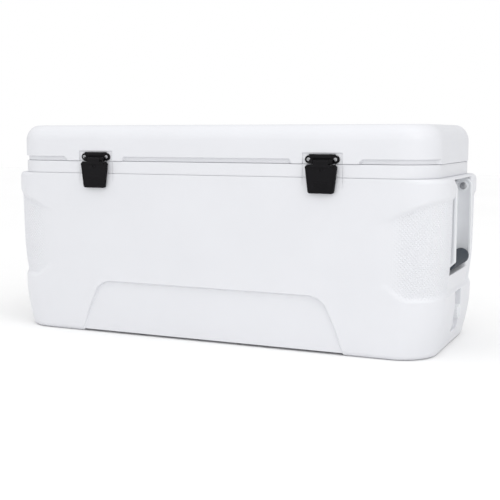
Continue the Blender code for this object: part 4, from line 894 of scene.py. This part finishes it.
# ---------------------------------------------------------------- screws
def screw_mesh(facing, material):
    """A pan-head screw with a cross recess, its head's top at the origin, facing -Y or +Y."""
    head_radius, head, shank_radius, shank = 4.0 * MM, 1.8 * MM, 2.0 * MM, 7.0 * MM
    profile = [(0.0, -head - shank), (shank_radius, -head - shank), (shank_radius, -head),
               (head_radius, -head), (head_radius, -head * 0.62)]
    profile += [(head_radius * math.cos(a), -head * 0.62 + head * 0.62 * math.sin(a))
                for a in (0.35, 0.7, 1.0, 1.25)]
    profile += [(0.0, 0.0)]
    vertices, faces = turned(profile, (0, 0, 0), "Z", 32)
    body = add_piece("screw_blank", vertices, faces, material, sharp=50.0)
    arm, width, deep = 2.3 * MM, 0.55 * MM, 1.25 * MM
    for index, (u, v) in enumerate(((arm, width), (width, arm))):
        corners = [(-u, -v, 0.2 * MM), (u, -v, 0.2 * MM), (u, v, 0.2 * MM), (-u, v, 0.2 * MM)]
        tool = add_piece(f"screw_cross_{index}",
                         *pressed(corners, [(-deep, 0.28 * MM), (1.0 * MM, 0.0)], "Z", 2),
                         material)
        cut = body.modifiers.new("cross", "BOOLEAN")
        cut.operation, cut.solver, cut.object = "DIFFERENCE", "EXACT", tool
    bpy.context.view_layer.update()
    made = bpy.data.meshes.new_from_object(body.evaluated_get(bpy.context.evaluated_depsgraph_get()))
    for name in ("screw_blank", "screw_cross_0", "screw_cross_1"):
        bpy.data.objects.remove(bpy.data.objects[name])
    made.transform(Matrix.Translation((0, -MIDDLE_Y, 0)))
    made.transform(Matrix.Rotation(math.pi / 2 * (1 if facing < 0 else -1), 4, "X"))
    made.shade_smooth()
    made.set_sharp_from_angle(angle=math.radians(35))
    return made


def place_screws(mesh, facing, body, *nodes):
    """One screw for each CAD screw, its head where the CAD's is."""
    for index, name in enumerate(nodes):
        low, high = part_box(name)
        made = bpy.data.objects.new(f"pan_{name}", mesh)
        bpy.context.scene.collection.objects.link(made)
        top = low.y if facing < 0 else high.y
        made.location = ((low.x + high.x) / 2, top, (low.z + high.z) / 2)
        turn = Matrix.Rotation(math.radians(37 * index + 12), 4, "Y")
        made.matrix_world = Matrix.Translation(made.location) @ turn
        fit(made, body, "stainless_steel", name)


def pin_solid(radius, start, end, place, axis):
    """A pin with eased ends, from start to end along its axis."""
    profile = [(0.0, end)] + rounded_rim(radius, end, PIN_EASE)[::-1]
    profile += [(r, start - (z - end)) for r, z in rounded_rim(radius, end, PIN_EASE)] + [(0.0, start)]
    return turned(profile[::-1], place, axis, 24)


# ---------------------------------------------------------------- latches
def build_latch(side, sign, black, steel, screw):
    """Plate, pin and flap on the lid and a keeper on the rim, with their screws."""
    centre = sign * LATCH_X
    back = -LID_Y + 2.7 * MM
    front = back - 3.5 * MM
    low, high = LID_BOTTOM_Z + 1.5 * MM, LID_BOTTOM_Z + 20.5 * MM
    pin_y = (FLAP_PIN_LOW.y + FLAP_PIN_HIGH.y) / 2 - MIDDLE_Y
    pin_z = (FLAP_PIN_LOW.z + FLAP_PIN_HIGH.z) / 2
    screw_low, screw_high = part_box(f"latch_{side}_plate_screw_1")
    ear_z = (screw_low.z + screw_high.z) / 2
    solids = [slab((centre - 30 * MM, front, low), (centre + 30 * MM, back, high), 0.9 * MM, "Y", 2 * MM)]
    for ear in (-1, 1):
        place = (centre + ear * 30 * MM, 0, ear_z)
        face = -front + 0.25 * MM
        profile = [(0.0, -back), (8.5 * MM, -back)] + rounded_rim(8.5 * MM, face, 1.3 * MM)
        profile += [(5.6 * MM, face), (5.2 * MM, face - 0.35 * MM), (0.0, face - 0.35 * MM)]
        solids.append(turned(profile, place, "-Y", 48))
        lug = centre + ear * 22 * MM
        solids.append(slab((lug - 4 * MM, pin_y - 4.2 * MM, pin_z - 4.2 * MM),
                           (lug + 4 * MM, front + 0.6 * MM, pin_z + 5.5 * MM),
                           1.2 * MM, "X", 3.6 * MM))
    band = [(centre - 20.5 * MM, ear_z + 1.5 * MM, 1 * MM),
            (centre + 20.5 * MM, ear_z + 1.5 * MM, 1 * MM),
            (centre + 18 * MM, high - 2.0 * MM, 1 * MM), (centre - 18 * MM, high - 2.0 * MM, 1 * MM)]
    solids.append(pressed(band, [(front + 0.5 * MM, 0.0), (front - 0.3 * MM, 0.0),
                                 (front - 1.3 * MM, 1.3 * MM)]))
    plate = add_piece(f"latch_{side}_top_plate", *joined(*solids), black)
    fit(plate, "lid", "black_latch", f"latch_{side}_plate")
    pin = add_piece(f"latch_{side}_hinge_pin",
                    *pin_solid(2 * MM, -26 * MM, 26 * MM, (centre, pin_y, pin_z), "X"), steel)
    fit(pin, "lid", "stainless_steel", f"latch_{side}_pin")

    face = FLAP_LOW.y - MIDDLE_Y
    rear = face + 7.5 * MM
    foot, top = FLAP_LOW.z, pin_z - 5.2 * MM
    corners = [(centre - 28.5 * MM, foot, 5 * MM), (centre + 28.5 * MM, foot, 5 * MM),
               (centre + 35.5 * MM, top - 4.5 * MM, 2 * MM), (centre + 31.0 * MM, top, 1.6 * MM),
               (centre - 31.0 * MM, top, 1.6 * MM), (centre - 35.5 * MM, top - 4.5 * MM, 2 * MM)]
    levels = [(face + 3 * MM, 4.4 * MM), (rear, 3.6 * MM), (rear, 0.5 * MM), (rear - 0.5 * MM, 0.0),
              (face + 1.6 * MM, 0.0),
              (face + 0.7 * MM, 0.3 * MM), (face + 0.2 * MM, 0.9 * MM), (face, 1.8 * MM),
              (face, 3.2 * MM),
              (face + 0.35 * MM, 3.7 * MM), (face + 1.1 * MM, 4.2 * MM)]
    solids = [pressed(corners, levels)]
    field = face + 1.1 * MM
    barrel = [(0.0, 17.2 * MM)] + rounded_rim(4.5 * MM, 17.2 * MM, 0.6 * MM)[::-1]
    barrel += [(r, -z) for r, z in reversed(barrel)]
    solids.append(turned(barrel[::-1], (centre, pin_y, pin_z), "X", 40))
    solids.append(slab((centre - 17.2 * MM, pin_y - 4.4 * MM, top - 1.5 * MM),
                       (centre + 17.2 * MM, pin_y + 1 * MM, pin_z),
                       0.5 * MM, "X"))
    brow = [(centre - 27 * MM, top - 6.4 * MM, 1 * MM), (centre + 27 * MM, top - 6.4 * MM, 1 * MM),
            (centre + 25 * MM, top - 2.2 * MM, 1 * MM), (centre - 25 * MM, top - 2.2 * MM, 1 * MM)]
    solids.append(pressed(brow, [(field + 0.6 * MM, 0.0), (face + 0.1 * MM, 0.0),
                                 (face - 0.5 * MM, 0.9 * MM)]))
    lock_z = top - 10.5 * MM
    ring = [(0.0, -field - 0.5 * MM), (4.4 * MM, -field - 0.5 * MM), (4.4 * MM, -field + 0.5 * MM),
            (3.9 * MM, -field + 0.9 * MM), (3.1 * MM, -field + 0.9 * MM), (2.7 * MM, -field + 0.1 * MM),
            (0.0, -field + 0.1 * MM)]
    solids.append(turned(ring, (centre, 0, lock_z), "-Y", 36))
    solids.append(slab((centre - 0.45 * MM, field - 0.6 * MM, lock_z - 2.0 * MM),
                       (centre + 0.45 * MM, field + 0.3 * MM, lock_z + 2.0 * MM),
                       0.15 * MM))
    for index in range(4):
        z = foot + (9.0 + 4.6 * index) * MM
        half = (13.0 + 1.3 * index) * MM
        rib = [(centre - half, z, 0.7 * MM), (centre + half, z, 0.7 * MM),
               (centre + half, z + 1.8 * MM, 0.7 * MM),
               (centre - half, z + 1.8 * MM, 0.7 * MM)]
        solids.append(pressed(rib, [(field + 0.4 * MM, 0.0), (field - 0.1 * MM, 0.0),
                                    (field - 0.6 * MM, 0.55 * MM)], "Y", 3))
    flap = add_piece(f"latch_{side}_pull", *joined(*solids), black)
    fit(flap, f"{side}_latch_flap", "black_latch", f"latch_{side}_flap")

    low, high = KEEPER_LOW.z, KEEPER_HIGH.z
    back, nose = KEEPER_HIGH.y - MIDDLE_Y, KEEPER_LOW.y - MIDDLE_Y
    front = back - 3 * MM
    hook = [(front + 0.6 * MM, high - 8.5 * MM, 0.4 * MM), (front + 0.6 * MM, high - 0.8 * MM, 0.4 * MM),
            (nose, high - 4.2 * MM, 0.7 * MM), (nose, high - 5.0 * MM, 0.7 * MM)]
    solids = [slab((centre - 16 * MM, front, low), (centre + 16 * MM, back, high), 0.7 * MM, "Y", 2 * MM),
              pressed(hook, softened(centre - 15 * MM, centre + 15 * MM, 0.6 * MM), "X")]
    keeper = add_piece(f"latch_{side}_catch", *joined(*solids), black)
    fit(keeper, "cooler_body", "black_latch", f"latch_{side}_keeper")
    place_screws(screw, -1, "lid", f"latch_{side}_plate_screw_1", f"latch_{side}_plate_screw_2")
    place_screws(screw, -1, "cooler_body", f"latch_{side}_keeper_screw")


# ---------------------------------------------------------------- hinges
def build_hinge(side, centre, black, steel, screw):
    """Two moulded leaves with interleaved knuckles, a pin and four screws."""
    axis_y = (HINGE_PIN_LOW.y + HINGE_PIN_HIGH.y) / 2 - MIDDLE_Y
    axis_z = (HINGE_PIN_LOW.z + HINGE_PIN_HIGH.z) / 2
    half, third, leaf, start = 36 * MM, 12 * MM, 34 * MM, 7.5 * MM
    lid = ("lid", LID_Y + 0.3 * MM, axis_z + start, axis_z + leaf, 1, ((-half, -third), (third, half)))
    body = ("body", RIM_Y + 0.3 * MM, SKIRT_Z + 1 * MM, axis_z - start, -1,
            ((-third + 0.6 * MM, third - 0.6 * MM),))
    for owner, near, low, high, sign, spans in (lid, body):
        solids = [slab((centre - half, near, low), (centre + half, near + 3 * MM, high), 0.8 * MM, "Y",
                       4 * MM)]
        for left, right in spans:
            web_low, web_high = sorted((axis_z + sign * 0.8 * MM, axis_z + sign * (start + 4 * MM)))
            solids.append(slab((centre + left + 1 * MM, near + 0.7 * MM, web_low),
                               (centre + right - 1 * MM, axis_y + 1 * MM, web_high), 0.5 * MM, "X"))
            profile = [(2.6 * MM, right)] + rounded_rim(5 * MM, right, 0.7 * MM)[::-1]
            profile += [(r, left + right - z) for r, z in rounded_rim(5 * MM, right, 0.7 * MM)]
            profile += [(2.6 * MM, left), (2.6 * MM, right)]
            solids.append(turned(profile[::-1], (centre, axis_y, axis_z), "X", 40))
        for dx in (-22 * MM, 22 * MM):
            collar = [(5.0 * MM, near + 2.5 * MM), (6.4 * MM, near + 2.5 * MM),
                      (6.0 * MM, near + 3.5 * MM),
                      (5.2 * MM, near + 3.5 * MM), (5.0 * MM, near + 2.5 * MM)]
            solids.append(turned(collar, (centre + dx, 0, axis_z + sign * 20 * MM), "Y", 32))
        piece = add_piece(f"hinge_{side}_{owner}_moulding", *joined(*solids), black)
        owner_body = "lid" if owner == "lid" else "cooler_body"
        fit(piece, owner_body, "black_latch", f"hinge_{side}_{owner}_leaf")
        place_screws(screw, 1, owner_body, f"hinge_{side}_{owner}_screw_1",
                     f"hinge_{side}_{owner}_screw_2")
    pin = add_piece(f"hinge_{side}_rod", *pin_solid(2.2 * MM, -half, half, (centre, axis_y, axis_z), "X"),
                    steel)
    fit(pin, "cooler_body", "stainless_steel", f"hinge_{side}_pin")


# ---------------------------------------------------------------- handles
def build_handle(end, sign, sizes, white, rubber, steel):
    """A bail of two panelled arms and a rod, its knurled grip and two pivot pins."""
    pivot_x = (PIVOT_LOW.x + PIVOT_HIGH.x) / 2
    pivot_z = (PIVOT_LOW.z + PIVOT_HIGH.z) / 2
    grip_z = (GRIP_LOW.z + GRIP_HIGH.z) / 2
    arm = (BAIL_HIGH.x - BAIL_LOW.x) / 2
    outer = BAIL_HIGH.y - MIDDLE_Y
    inner = outer - 12 * MM
    foot = BAIL_LOW.z
    corners = [(-arm, foot, 4 * MM), (4 * MM, foot, 4 * MM), (arm, grip_z + 3 * MM, 4 * MM),
               (arm, pivot_z + arm, arm - 0.1 * MM), (-arm, pivot_z + arm, arm - 0.1 * MM)]
    corners = [(pivot_x + u, v, r) for u, v, r in corners]
    solids = []
    for face in (-1, 1):
        levels = [(face * (outer - 0.9 * MM), 6.2 * MM), (face * (outer - 0.7 * MM), 5.4 * MM),
                  (face * outer, 4.6 * MM)]
        levels += [(face * height, inset) for height, inset in softened(outer, inner, 1.4 * MM)]
        levels += [(face * inner, 5.0 * MM), (face * (inner + 0.8 * MM), 5.8 * MM),
                   (face * (inner + 1.2 * MM), 6.6 * MM)]
        solids.append(pressed(corners, levels, "Y", 9))
        hub = [(4.6 * MM, inner + 1.5 * MM), (12.4 * MM, inner + 1.5 * MM), (12.0 * MM, inner + 0.3 * MM),
               (11.4 * MM, inner), (4.6 * MM, inner), (4.6 * MM, inner + 1.5 * MM)]
        solids.append(turned(hub, (pivot_x, 0, pivot_z), "Y" if face > 0 else "-Y", 48))
    solids.append(turned([(0.0, -inner - 2 * MM), (7 * MM, -inner - 2 * MM), (7 * MM, inner + 2 * MM),
                          (0.0, inner + 2 * MM)],
                         (pivot_x, 0, grip_z), "Y", 24))
    flip = Matrix.Diagonal((sign, 1, 1, 1))
    bail = add_piece(f"handle_{end}_frame", *moved(joined(*solids), flip), white)
    fit(bail, f"{end}_handle", "white_fittings", f"handle_{end}_bail")

    half, radius = inner - 0.3 * MM, (GRIP_HIGH.z - GRIP_LOW.z) / 2
    around_count = max(int(round(2 * math.pi * radius / sizes.knurl_pitch)), 8)
    rows = np.linspace(-half + 3 * MM, half - 3 * MM, int((2 * half - 6 * MM) / sizes.knurl_pitch * 6))
    edge = rounded_rim(radius, half, 3 * MM, 5)
    profile = [(7.3 * MM, -half)] + [(r, -z) for r, z in reversed(edge)] + [
        (radius, z) for z in rows[1:-1]]
    profile += edge + [(7.3 * MM, half), (7.3 * MM, -half)]

    def knurl(r, height, angles):
        share = (r > radius - 0.01 * MM) * (1 - smoothstep(np.abs(height), half - 9 * MM, half - 6 * MM))
        run = 2 * math.pi * height / sizes.knurl_pitch
        turn = angles * around_count
        ridges = np.maximum(np.cos(turn + run), np.cos(turn - run))
        return -share * sizes.knurl_depth * (1 - np.clip(ridges * 0.5 + 0.5, 0, 1) ** 2)

    grip = turned(profile, (pivot_x, 0, grip_z), "Y", around_count * 6, knurl)
    piece = add_piece(f"handle_{end}_sleeve", *moved(grip, flip), rubber, sharp=60.0)
    fit(piece, f"{end}_handle", "slate_grip", f"handle_{end}_grip")

    for face, label in ((-1, "front"), (1, "rear")):
        near = inner - 0.3 * MM
        profile = [(0.0, near - 2.2 * MM), (3.0 * MM, near - 2.2 * MM), (3.6 * MM, near - 1.9 * MM),
                   (5.2 * MM, near - 2.0 * MM), (7.2 * MM, near - 1.3 * MM), (8.0 * MM, near - 0.5 * MM),
                   (8.0 * MM, near),
                   (4.0 * MM, near), (4.0 * MM, near + 16 * MM), (0.0, near + 16 * MM)]
        solid = turned(profile, (pivot_x, 0, pivot_z), "Y" if face > 0 else "-Y", 40)
        pin = add_piece(f"handle_{end}_{label}_stud", *moved(solid, flip), steel)
        fit(pin, "cooler_body", "stainless_steel", f"handle_{end}_{label}_pivot")


# ---------------------------------------------------------------- drain
def build_drain(sizes, white, rubber):
    """Flanged fitting, nut in the tub, seal and a ribbed cap with a finger bar."""
    z = (FITTING_LOW.z + FITTING_HIGH.z) / 2
    base = FITTING_HIGH.x - 13 * MM
    spout = [(9 * MM, 13 * MM), (10 * MM, 13 * MM), (13.0 * MM, 13 * MM), (13.5 * MM, 12.4 * MM),
             (13.5 * MM, 3 * MM),
             (18.5 * MM, 3 * MM), (20.2 * MM, 2.6 * MM), (21 * MM, 1.6 * MM), (21 * MM, 0.0),
             (12 * MM, 0.0),
             (12 * MM, FITTING_LOW.x - base), (9 * MM, FITTING_LOW.x - base), (9 * MM, 13 * MM)]
    piece = add_piece("drain_spout", *turned(spout, (base, 0, z), "X", 64), white)
    fit(piece, "cooler_body", "white_fittings", "drain_fitting")

    def six_sided(r, height, angles):
        flat = 14.6 * MM / np.cos((angles % (math.pi / 3)) - math.pi / 6)
        return np.where(r > 13.5 * MM, np.minimum(flat, 16 * MM) * r / (16 * MM) - r, 0.0)

    length_in = NUT_HIGH.x - NUT_LOW.x
    nut = [(12.3 * MM, 0.0), (16 * MM, 0.0), (16 * MM, -length_in + 0.8 * MM), (15.2 * MM, -length_in),
           (12.3 * MM, -length_in),
           (12.3 * MM, 0.0)]
    piece = add_piece("drain_lock_nut", *turned(nut, (NUT_HIGH.x, 0, z), "X", 72, six_sided), white)
    fit(piece, "cooler_body", "white_fittings", "drain_nut")

    thick = SEAL_HIGH.x - SEAL_LOW.x
    ring = [(9 * MM, thick), (9.6 * MM, thick), (13 * MM, thick), (13.5 * MM, thick * 0.7),
            (13.5 * MM, thick * 0.3),
            (13 * MM, 0.0), (9 * MM, 0.0), (9 * MM, thick)]
    piece = add_piece("drain_washer", *turned(ring, (SEAL_LOW.x, 0, z), "X", 48), rubber)
    fit(piece, "drain_seal", "seal_rubber", "drain_cap_seal")

    tall, radius = CAP_HIGH.x - CAP_LOW.x, (CAP_HIGH.z - CAP_LOW.z) / 2
    wall = rounded_rim(radius, tall, 1.8 * MM)
    cap = [(14 * MM, 0.0), (radius - 0.4 * MM, 0.0), (radius, 0.5 * MM)] + wall
    cap += [(11.5 * MM, tall), (11.0 * MM, tall - 0.7 * MM), (0.0, tall - 0.7 * MM)]
    ceiling = tall - 2.5 * MM
    cap = [(0.0, ceiling), (14 * MM, ceiling)] + cap

    def ribs(r, height, angles):
        share = smoothstep(r, radius - 1.2 * MM, radius - 0.4 * MM)
        return share * 0.7 * MM * (np.clip(np.cos(angles * sizes.cap_ribs) * 1.6, -1, 1) - 1) / 2

    solids = [turned(cap, (CAP_LOW.x, 0, z), "X", sizes.cap_ribs * 8, ribs)]
    top = CAP_HIGH.x
    bar = [(-2.6 * MM, z - 11 * MM, 2.4 * MM), (2.6 * MM, z - 11 * MM, 2.4 * MM),
           (2.6 * MM, z + 11 * MM, 2.4 * MM),
           (-2.6 * MM, z + 11 * MM, 2.4 * MM)]
    solids.append(pressed(bar, [(top - 1.2 * MM, 0.0), (top + 0.6 * MM, 0.2 * MM),
                                (top + 1.4 * MM, 1.0 * MM)], "X"))
    piece = add_piece("drain_screw_cap", *joined(*solids), white)
    fit(piece, "drain_cap", "white_fittings", "drain_cap")


# ---------------------------------------------------------------- lights and camera
def area_light(name, place, aim, size, power):
    light = bpy.data.lights.new(name, "AREA")
    light.shape, light.size, light.size_y = "RECTANGLE", *size
    light.energy = power
    made = bpy.data.objects.new(name, light)
    made.location = place
    made.rotation_euler = (Vector(aim) - Vector(place)).to_track_quat("-Z", "Y").to_euler()
    bpy.context.scene.collection.objects.link(made)


def overhead_scrim():
    """A broad soft light from overhead, the same over the whole floor."""
    light = bpy.data.lights.new("overhead_scrim", "SUN")
    light.energy, light.angle = SCRIM_STRENGTH, math.radians(SCRIM_SPREAD)
    made = bpy.data.objects.new("overhead_scrim", light)
    made.rotation_euler = (*map(math.radians, SCRIM_TILT), 0)
    bpy.context.scene.collection.objects.link(made)


def build_world():
    """A white studio all round, brightest above the chest's front; the backdrop stays white."""
    world = bpy.data.worlds.new("white_studio")
    bpy.context.scene.world = world
    world.use_nodes = True
    tree = world.node_tree
    tree.nodes.clear()
    where = add_node(tree, "ShaderNodeTexCoord").outputs["Generated"]
    toward = add_node(tree, "ShaderNodeVectorMath", {"operation": "DOT_PRODUCT"},
                      {0: where, 1: BRIGHTEST})
    level = add_node(tree, "ShaderNodeMapRange", {"interpolation_type": "SMOOTHSTEP"}, {
        "Value": toward.outputs["Value"], "From Min": -0.1, "From Max": 0.9,
        "To Min": DIMMEST_LEVEL, "To Max": BRIGHTEST_LEVEL})
    seen = add_node(tree, "ShaderNodeLightPath").outputs["Is Camera Ray"]
    shown = add_node(tree, "ShaderNodeMath", {"operation": "MAXIMUM"},
                     {0: level.outputs["Result"], 1: seen})
    sky = add_node(tree, "ShaderNodeBackground",
                   links={"Color": (1, 1, 1, 1), "Strength": shown.outputs[0]})
    add_node(tree, "ShaderNodeOutputWorld", links={"Surface": sky.outputs[0]})


def build_camera():
    camera = bpy.data.cameras.new("studio_camera")
    camera.lens, camera.sensor_width = CAMERA_LENS, CAMERA_SENSOR
    made = bpy.data.objects.new("studio_camera", camera)
    made.location = (CAMERA_PLACE[0], CAMERA_PLACE[1] + MIDDLE_Y, CAMERA_PLACE[2])
    yaw, pitch = CAMERA_YAW, CAMERA_PITCH
    ahead = Vector((-math.sin(yaw) * math.cos(pitch), math.cos(yaw) * math.cos(pitch), -math.sin(pitch)))
    made.rotation_euler = ahead.to_track_quat("-Z", "Y").to_euler()
    bpy.context.scene.collection.objects.link(made)
    bpy.context.scene.camera = made


# ---------------------------------------------------------------- operators
def chosen(context):
    return context.scene.cooler_sizes, context.scene.cooler_colours


def finish(name, make, *values):
    """The named material, made once."""
    found = bpy.data.materials.get(name)
    return found or make(*values)


def shell_finish(colours):
    return finish("rotomoulded_polyethylene", rotomoulded_polyethylene, colours.shell)


def liner_finish(colours):
    return finish("smooth_polyethylene", smooth_polyethylene, colours.liner)


def fitting_finish(colours):
    return finish("white_polypropylene", white_polypropylene, colours.fittings)


def latch_finish(colours):
    return finish("glass_filled_nylon", glass_filled_nylon, colours.latch)


def steel_finish(colours):
    return finish("tumbled_stainless_steel", stainless_steel, colours.steel)


class COOLER_OT_stage(bpy.types.Operator):
    """Lay the pale floor, hang the soft lights and set up the camera"""
    bl_idname = "cooler.stage"
    bl_label = "Stage"

    def execute(self, context):
        _, colours = chosen(context)
        context.scene.view_settings.view_transform = "Standard"
        reach = FLOOR_REACH
        floor = add_piece("studio_floor", [(-reach, -reach, 0), (reach, -reach, 0), (reach, reach, 0),
                                           (-reach, reach, 0)],
                          [(0, 1, 2, 3)], studio_board(colours.floor), closed=False)
        build_world()
        area_light("key_softbox", (2.6, -1.5, 1.8), (0.5, 0, 0.25), (1.4, 1.2), 14)
        overhead_scrim()
        build_camera()
        return {"FINISHED"}


class COOLER_OT_shell(bpy.types.Operator):
    """Mould the body's outer shell with its shoulders, studded corners, bays and feet"""
    bl_idname = "cooler.shell"
    bl_label = "Outer shell"

    def execute(self, context):
        sizes, colours = chosen(context)
        material = shell_finish(colours)
        build_shell(sizes.recess_depth, material)
        build_studs(sizes, material)
        return {"FINISHED"}


class COOLER_OT_tub(bpy.types.Operator):
    """Mould the tub, the rim and its skirt"""
    bl_idname = "cooler.tub"
    bl_label = "Tub and rim"

    def execute(self, context):
        _, colours = chosen(context)
        build_liner(liner_finish(colours))
        return {"FINISHED"}


class COOLER_OT_lid(bpy.types.Operator):
    """Mould the lid's outside and its underside"""
    bl_idname = "cooler.lid"
    bl_label = "Lid"

    def execute(self, context):
        sizes, colours = chosen(context)
        build_lid(sizes, shell_finish(colours))
        build_lid_liner(liner_finish(colours))
        return {"FINISHED"}


class COOLER_OT_cores(bpy.types.Operator):
    """Fill the body with its foam core and give the lid's core the same finish"""
    bl_idname = "cooler.cores"
    bl_label = "Foam cores"

    def execute(self, context):
        foam = polyurethane_foam()
        build_body_core(foam)
        for slot in frame["nodes"]["lid_foam"].material_slots:
            slot.material = foam
        return {"FINISHED"}


class COOLER_OT_latches(bpy.types.Operator):
    """Fit the two latches, their keepers and screws"""
    bl_idname = "cooler.latches"
    bl_label = "Latches"

    def execute(self, context):
        _, colours = chosen(context)
        steel = steel_finish(colours)
        screw = screw_mesh(-1, steel)
        for side, sign in (("left", -1), ("right", 1)):
            build_latch(side, sign, latch_finish(colours), steel, screw)
        return {"FINISHED"}


class COOLER_OT_hinges(bpy.types.Operator):
    """Fit the three hinges at the rear"""
    bl_idname = "cooler.hinges"
    bl_label = "Hinges"

    def execute(self, context):
        _, colours = chosen(context)
        steel = steel_finish(colours)
        screw = screw_mesh(1, steel)
        for side, centre in zip(("left", "centre", "right"), HINGE_XS):
            build_hinge(side, centre, latch_finish(colours), steel, screw)
        return {"FINISHED"}


class COOLER_OT_handles(bpy.types.Operator):
    """Hang a bail with its grip in the bay at each end"""
    bl_idname = "cooler.handles"
    bl_label = "Handles"

    def execute(self, context):
        sizes, colours = chosen(context)
        rubber = grip_rubber(colours.grip)
        for end, sign in (("right", 1), ("left", -1)):
            build_handle(end, sign, sizes, fitting_finish(colours), rubber, steel_finish(colours))
        return {"FINISHED"}


class COOLER_OT_drain(bpy.types.Operator):
    """Fit the drain at the right end"""
    bl_idname = "cooler.drain"
    bl_label = "Drain"

    def execute(self, context):
        sizes, colours = chosen(context)
        build_drain(sizes, fitting_finish(colours), seal_rubber())
        return {"FINISHED"}


OPERATORS = (COOLER_OT_stage, COOLER_OT_shell, COOLER_OT_tub, COOLER_OT_lid, COOLER_OT_cores,
             COOLER_OT_latches,
             COOLER_OT_hinges, COOLER_OT_handles, COOLER_OT_drain)


class COOLER_PT_panel(bpy.types.Panel):
    """Sizes, colours and pieces of the cooler"""
    bl_label = "Chest cooler"
    bl_idname = "COOLER_PT_panel"
    bl_space_type = "VIEW_3D"
    bl_region_type = "UI"
    bl_category = "Cooler"

    def draw(self, context):
        for group in chosen(context):
            for key in group.bl_rna.properties.keys():
                if key not in ("rna_type", "name"):
                    self.layout.prop(group, key)
        for operator in OPERATORS:
            self.layout.operator(operator.bl_idname)


CLASSES = (CoolerSizes, CoolerColours, *OPERATORS, COOLER_PT_panel)


def register():
    for each in CLASSES:
        bpy.utils.register_class(each)
    bpy.types.Scene.cooler_sizes = PointerProperty(type=CoolerSizes)
    bpy.types.Scene.cooler_colours = PointerProperty(type=CoolerColours)


def unregister():
    del bpy.types.Scene.cooler_colours
    del bpy.types.Scene.cooler_sizes
    for each in reversed(CLASSES):
        bpy.utils.unregister_class(each)


def main():
    register()
    bpy.ops.cooler.stage()
    bpy.ops.cooler.shell()
    bpy.ops.cooler.tub()
    bpy.ops.cooler.lid()
    bpy.ops.cooler.cores()
    bpy.ops.cooler.latches()
    bpy.ops.cooler.hinges()
    bpy.ops.cooler.handles()
    bpy.ops.cooler.drain()


if __name__ == "__main__":
    main()
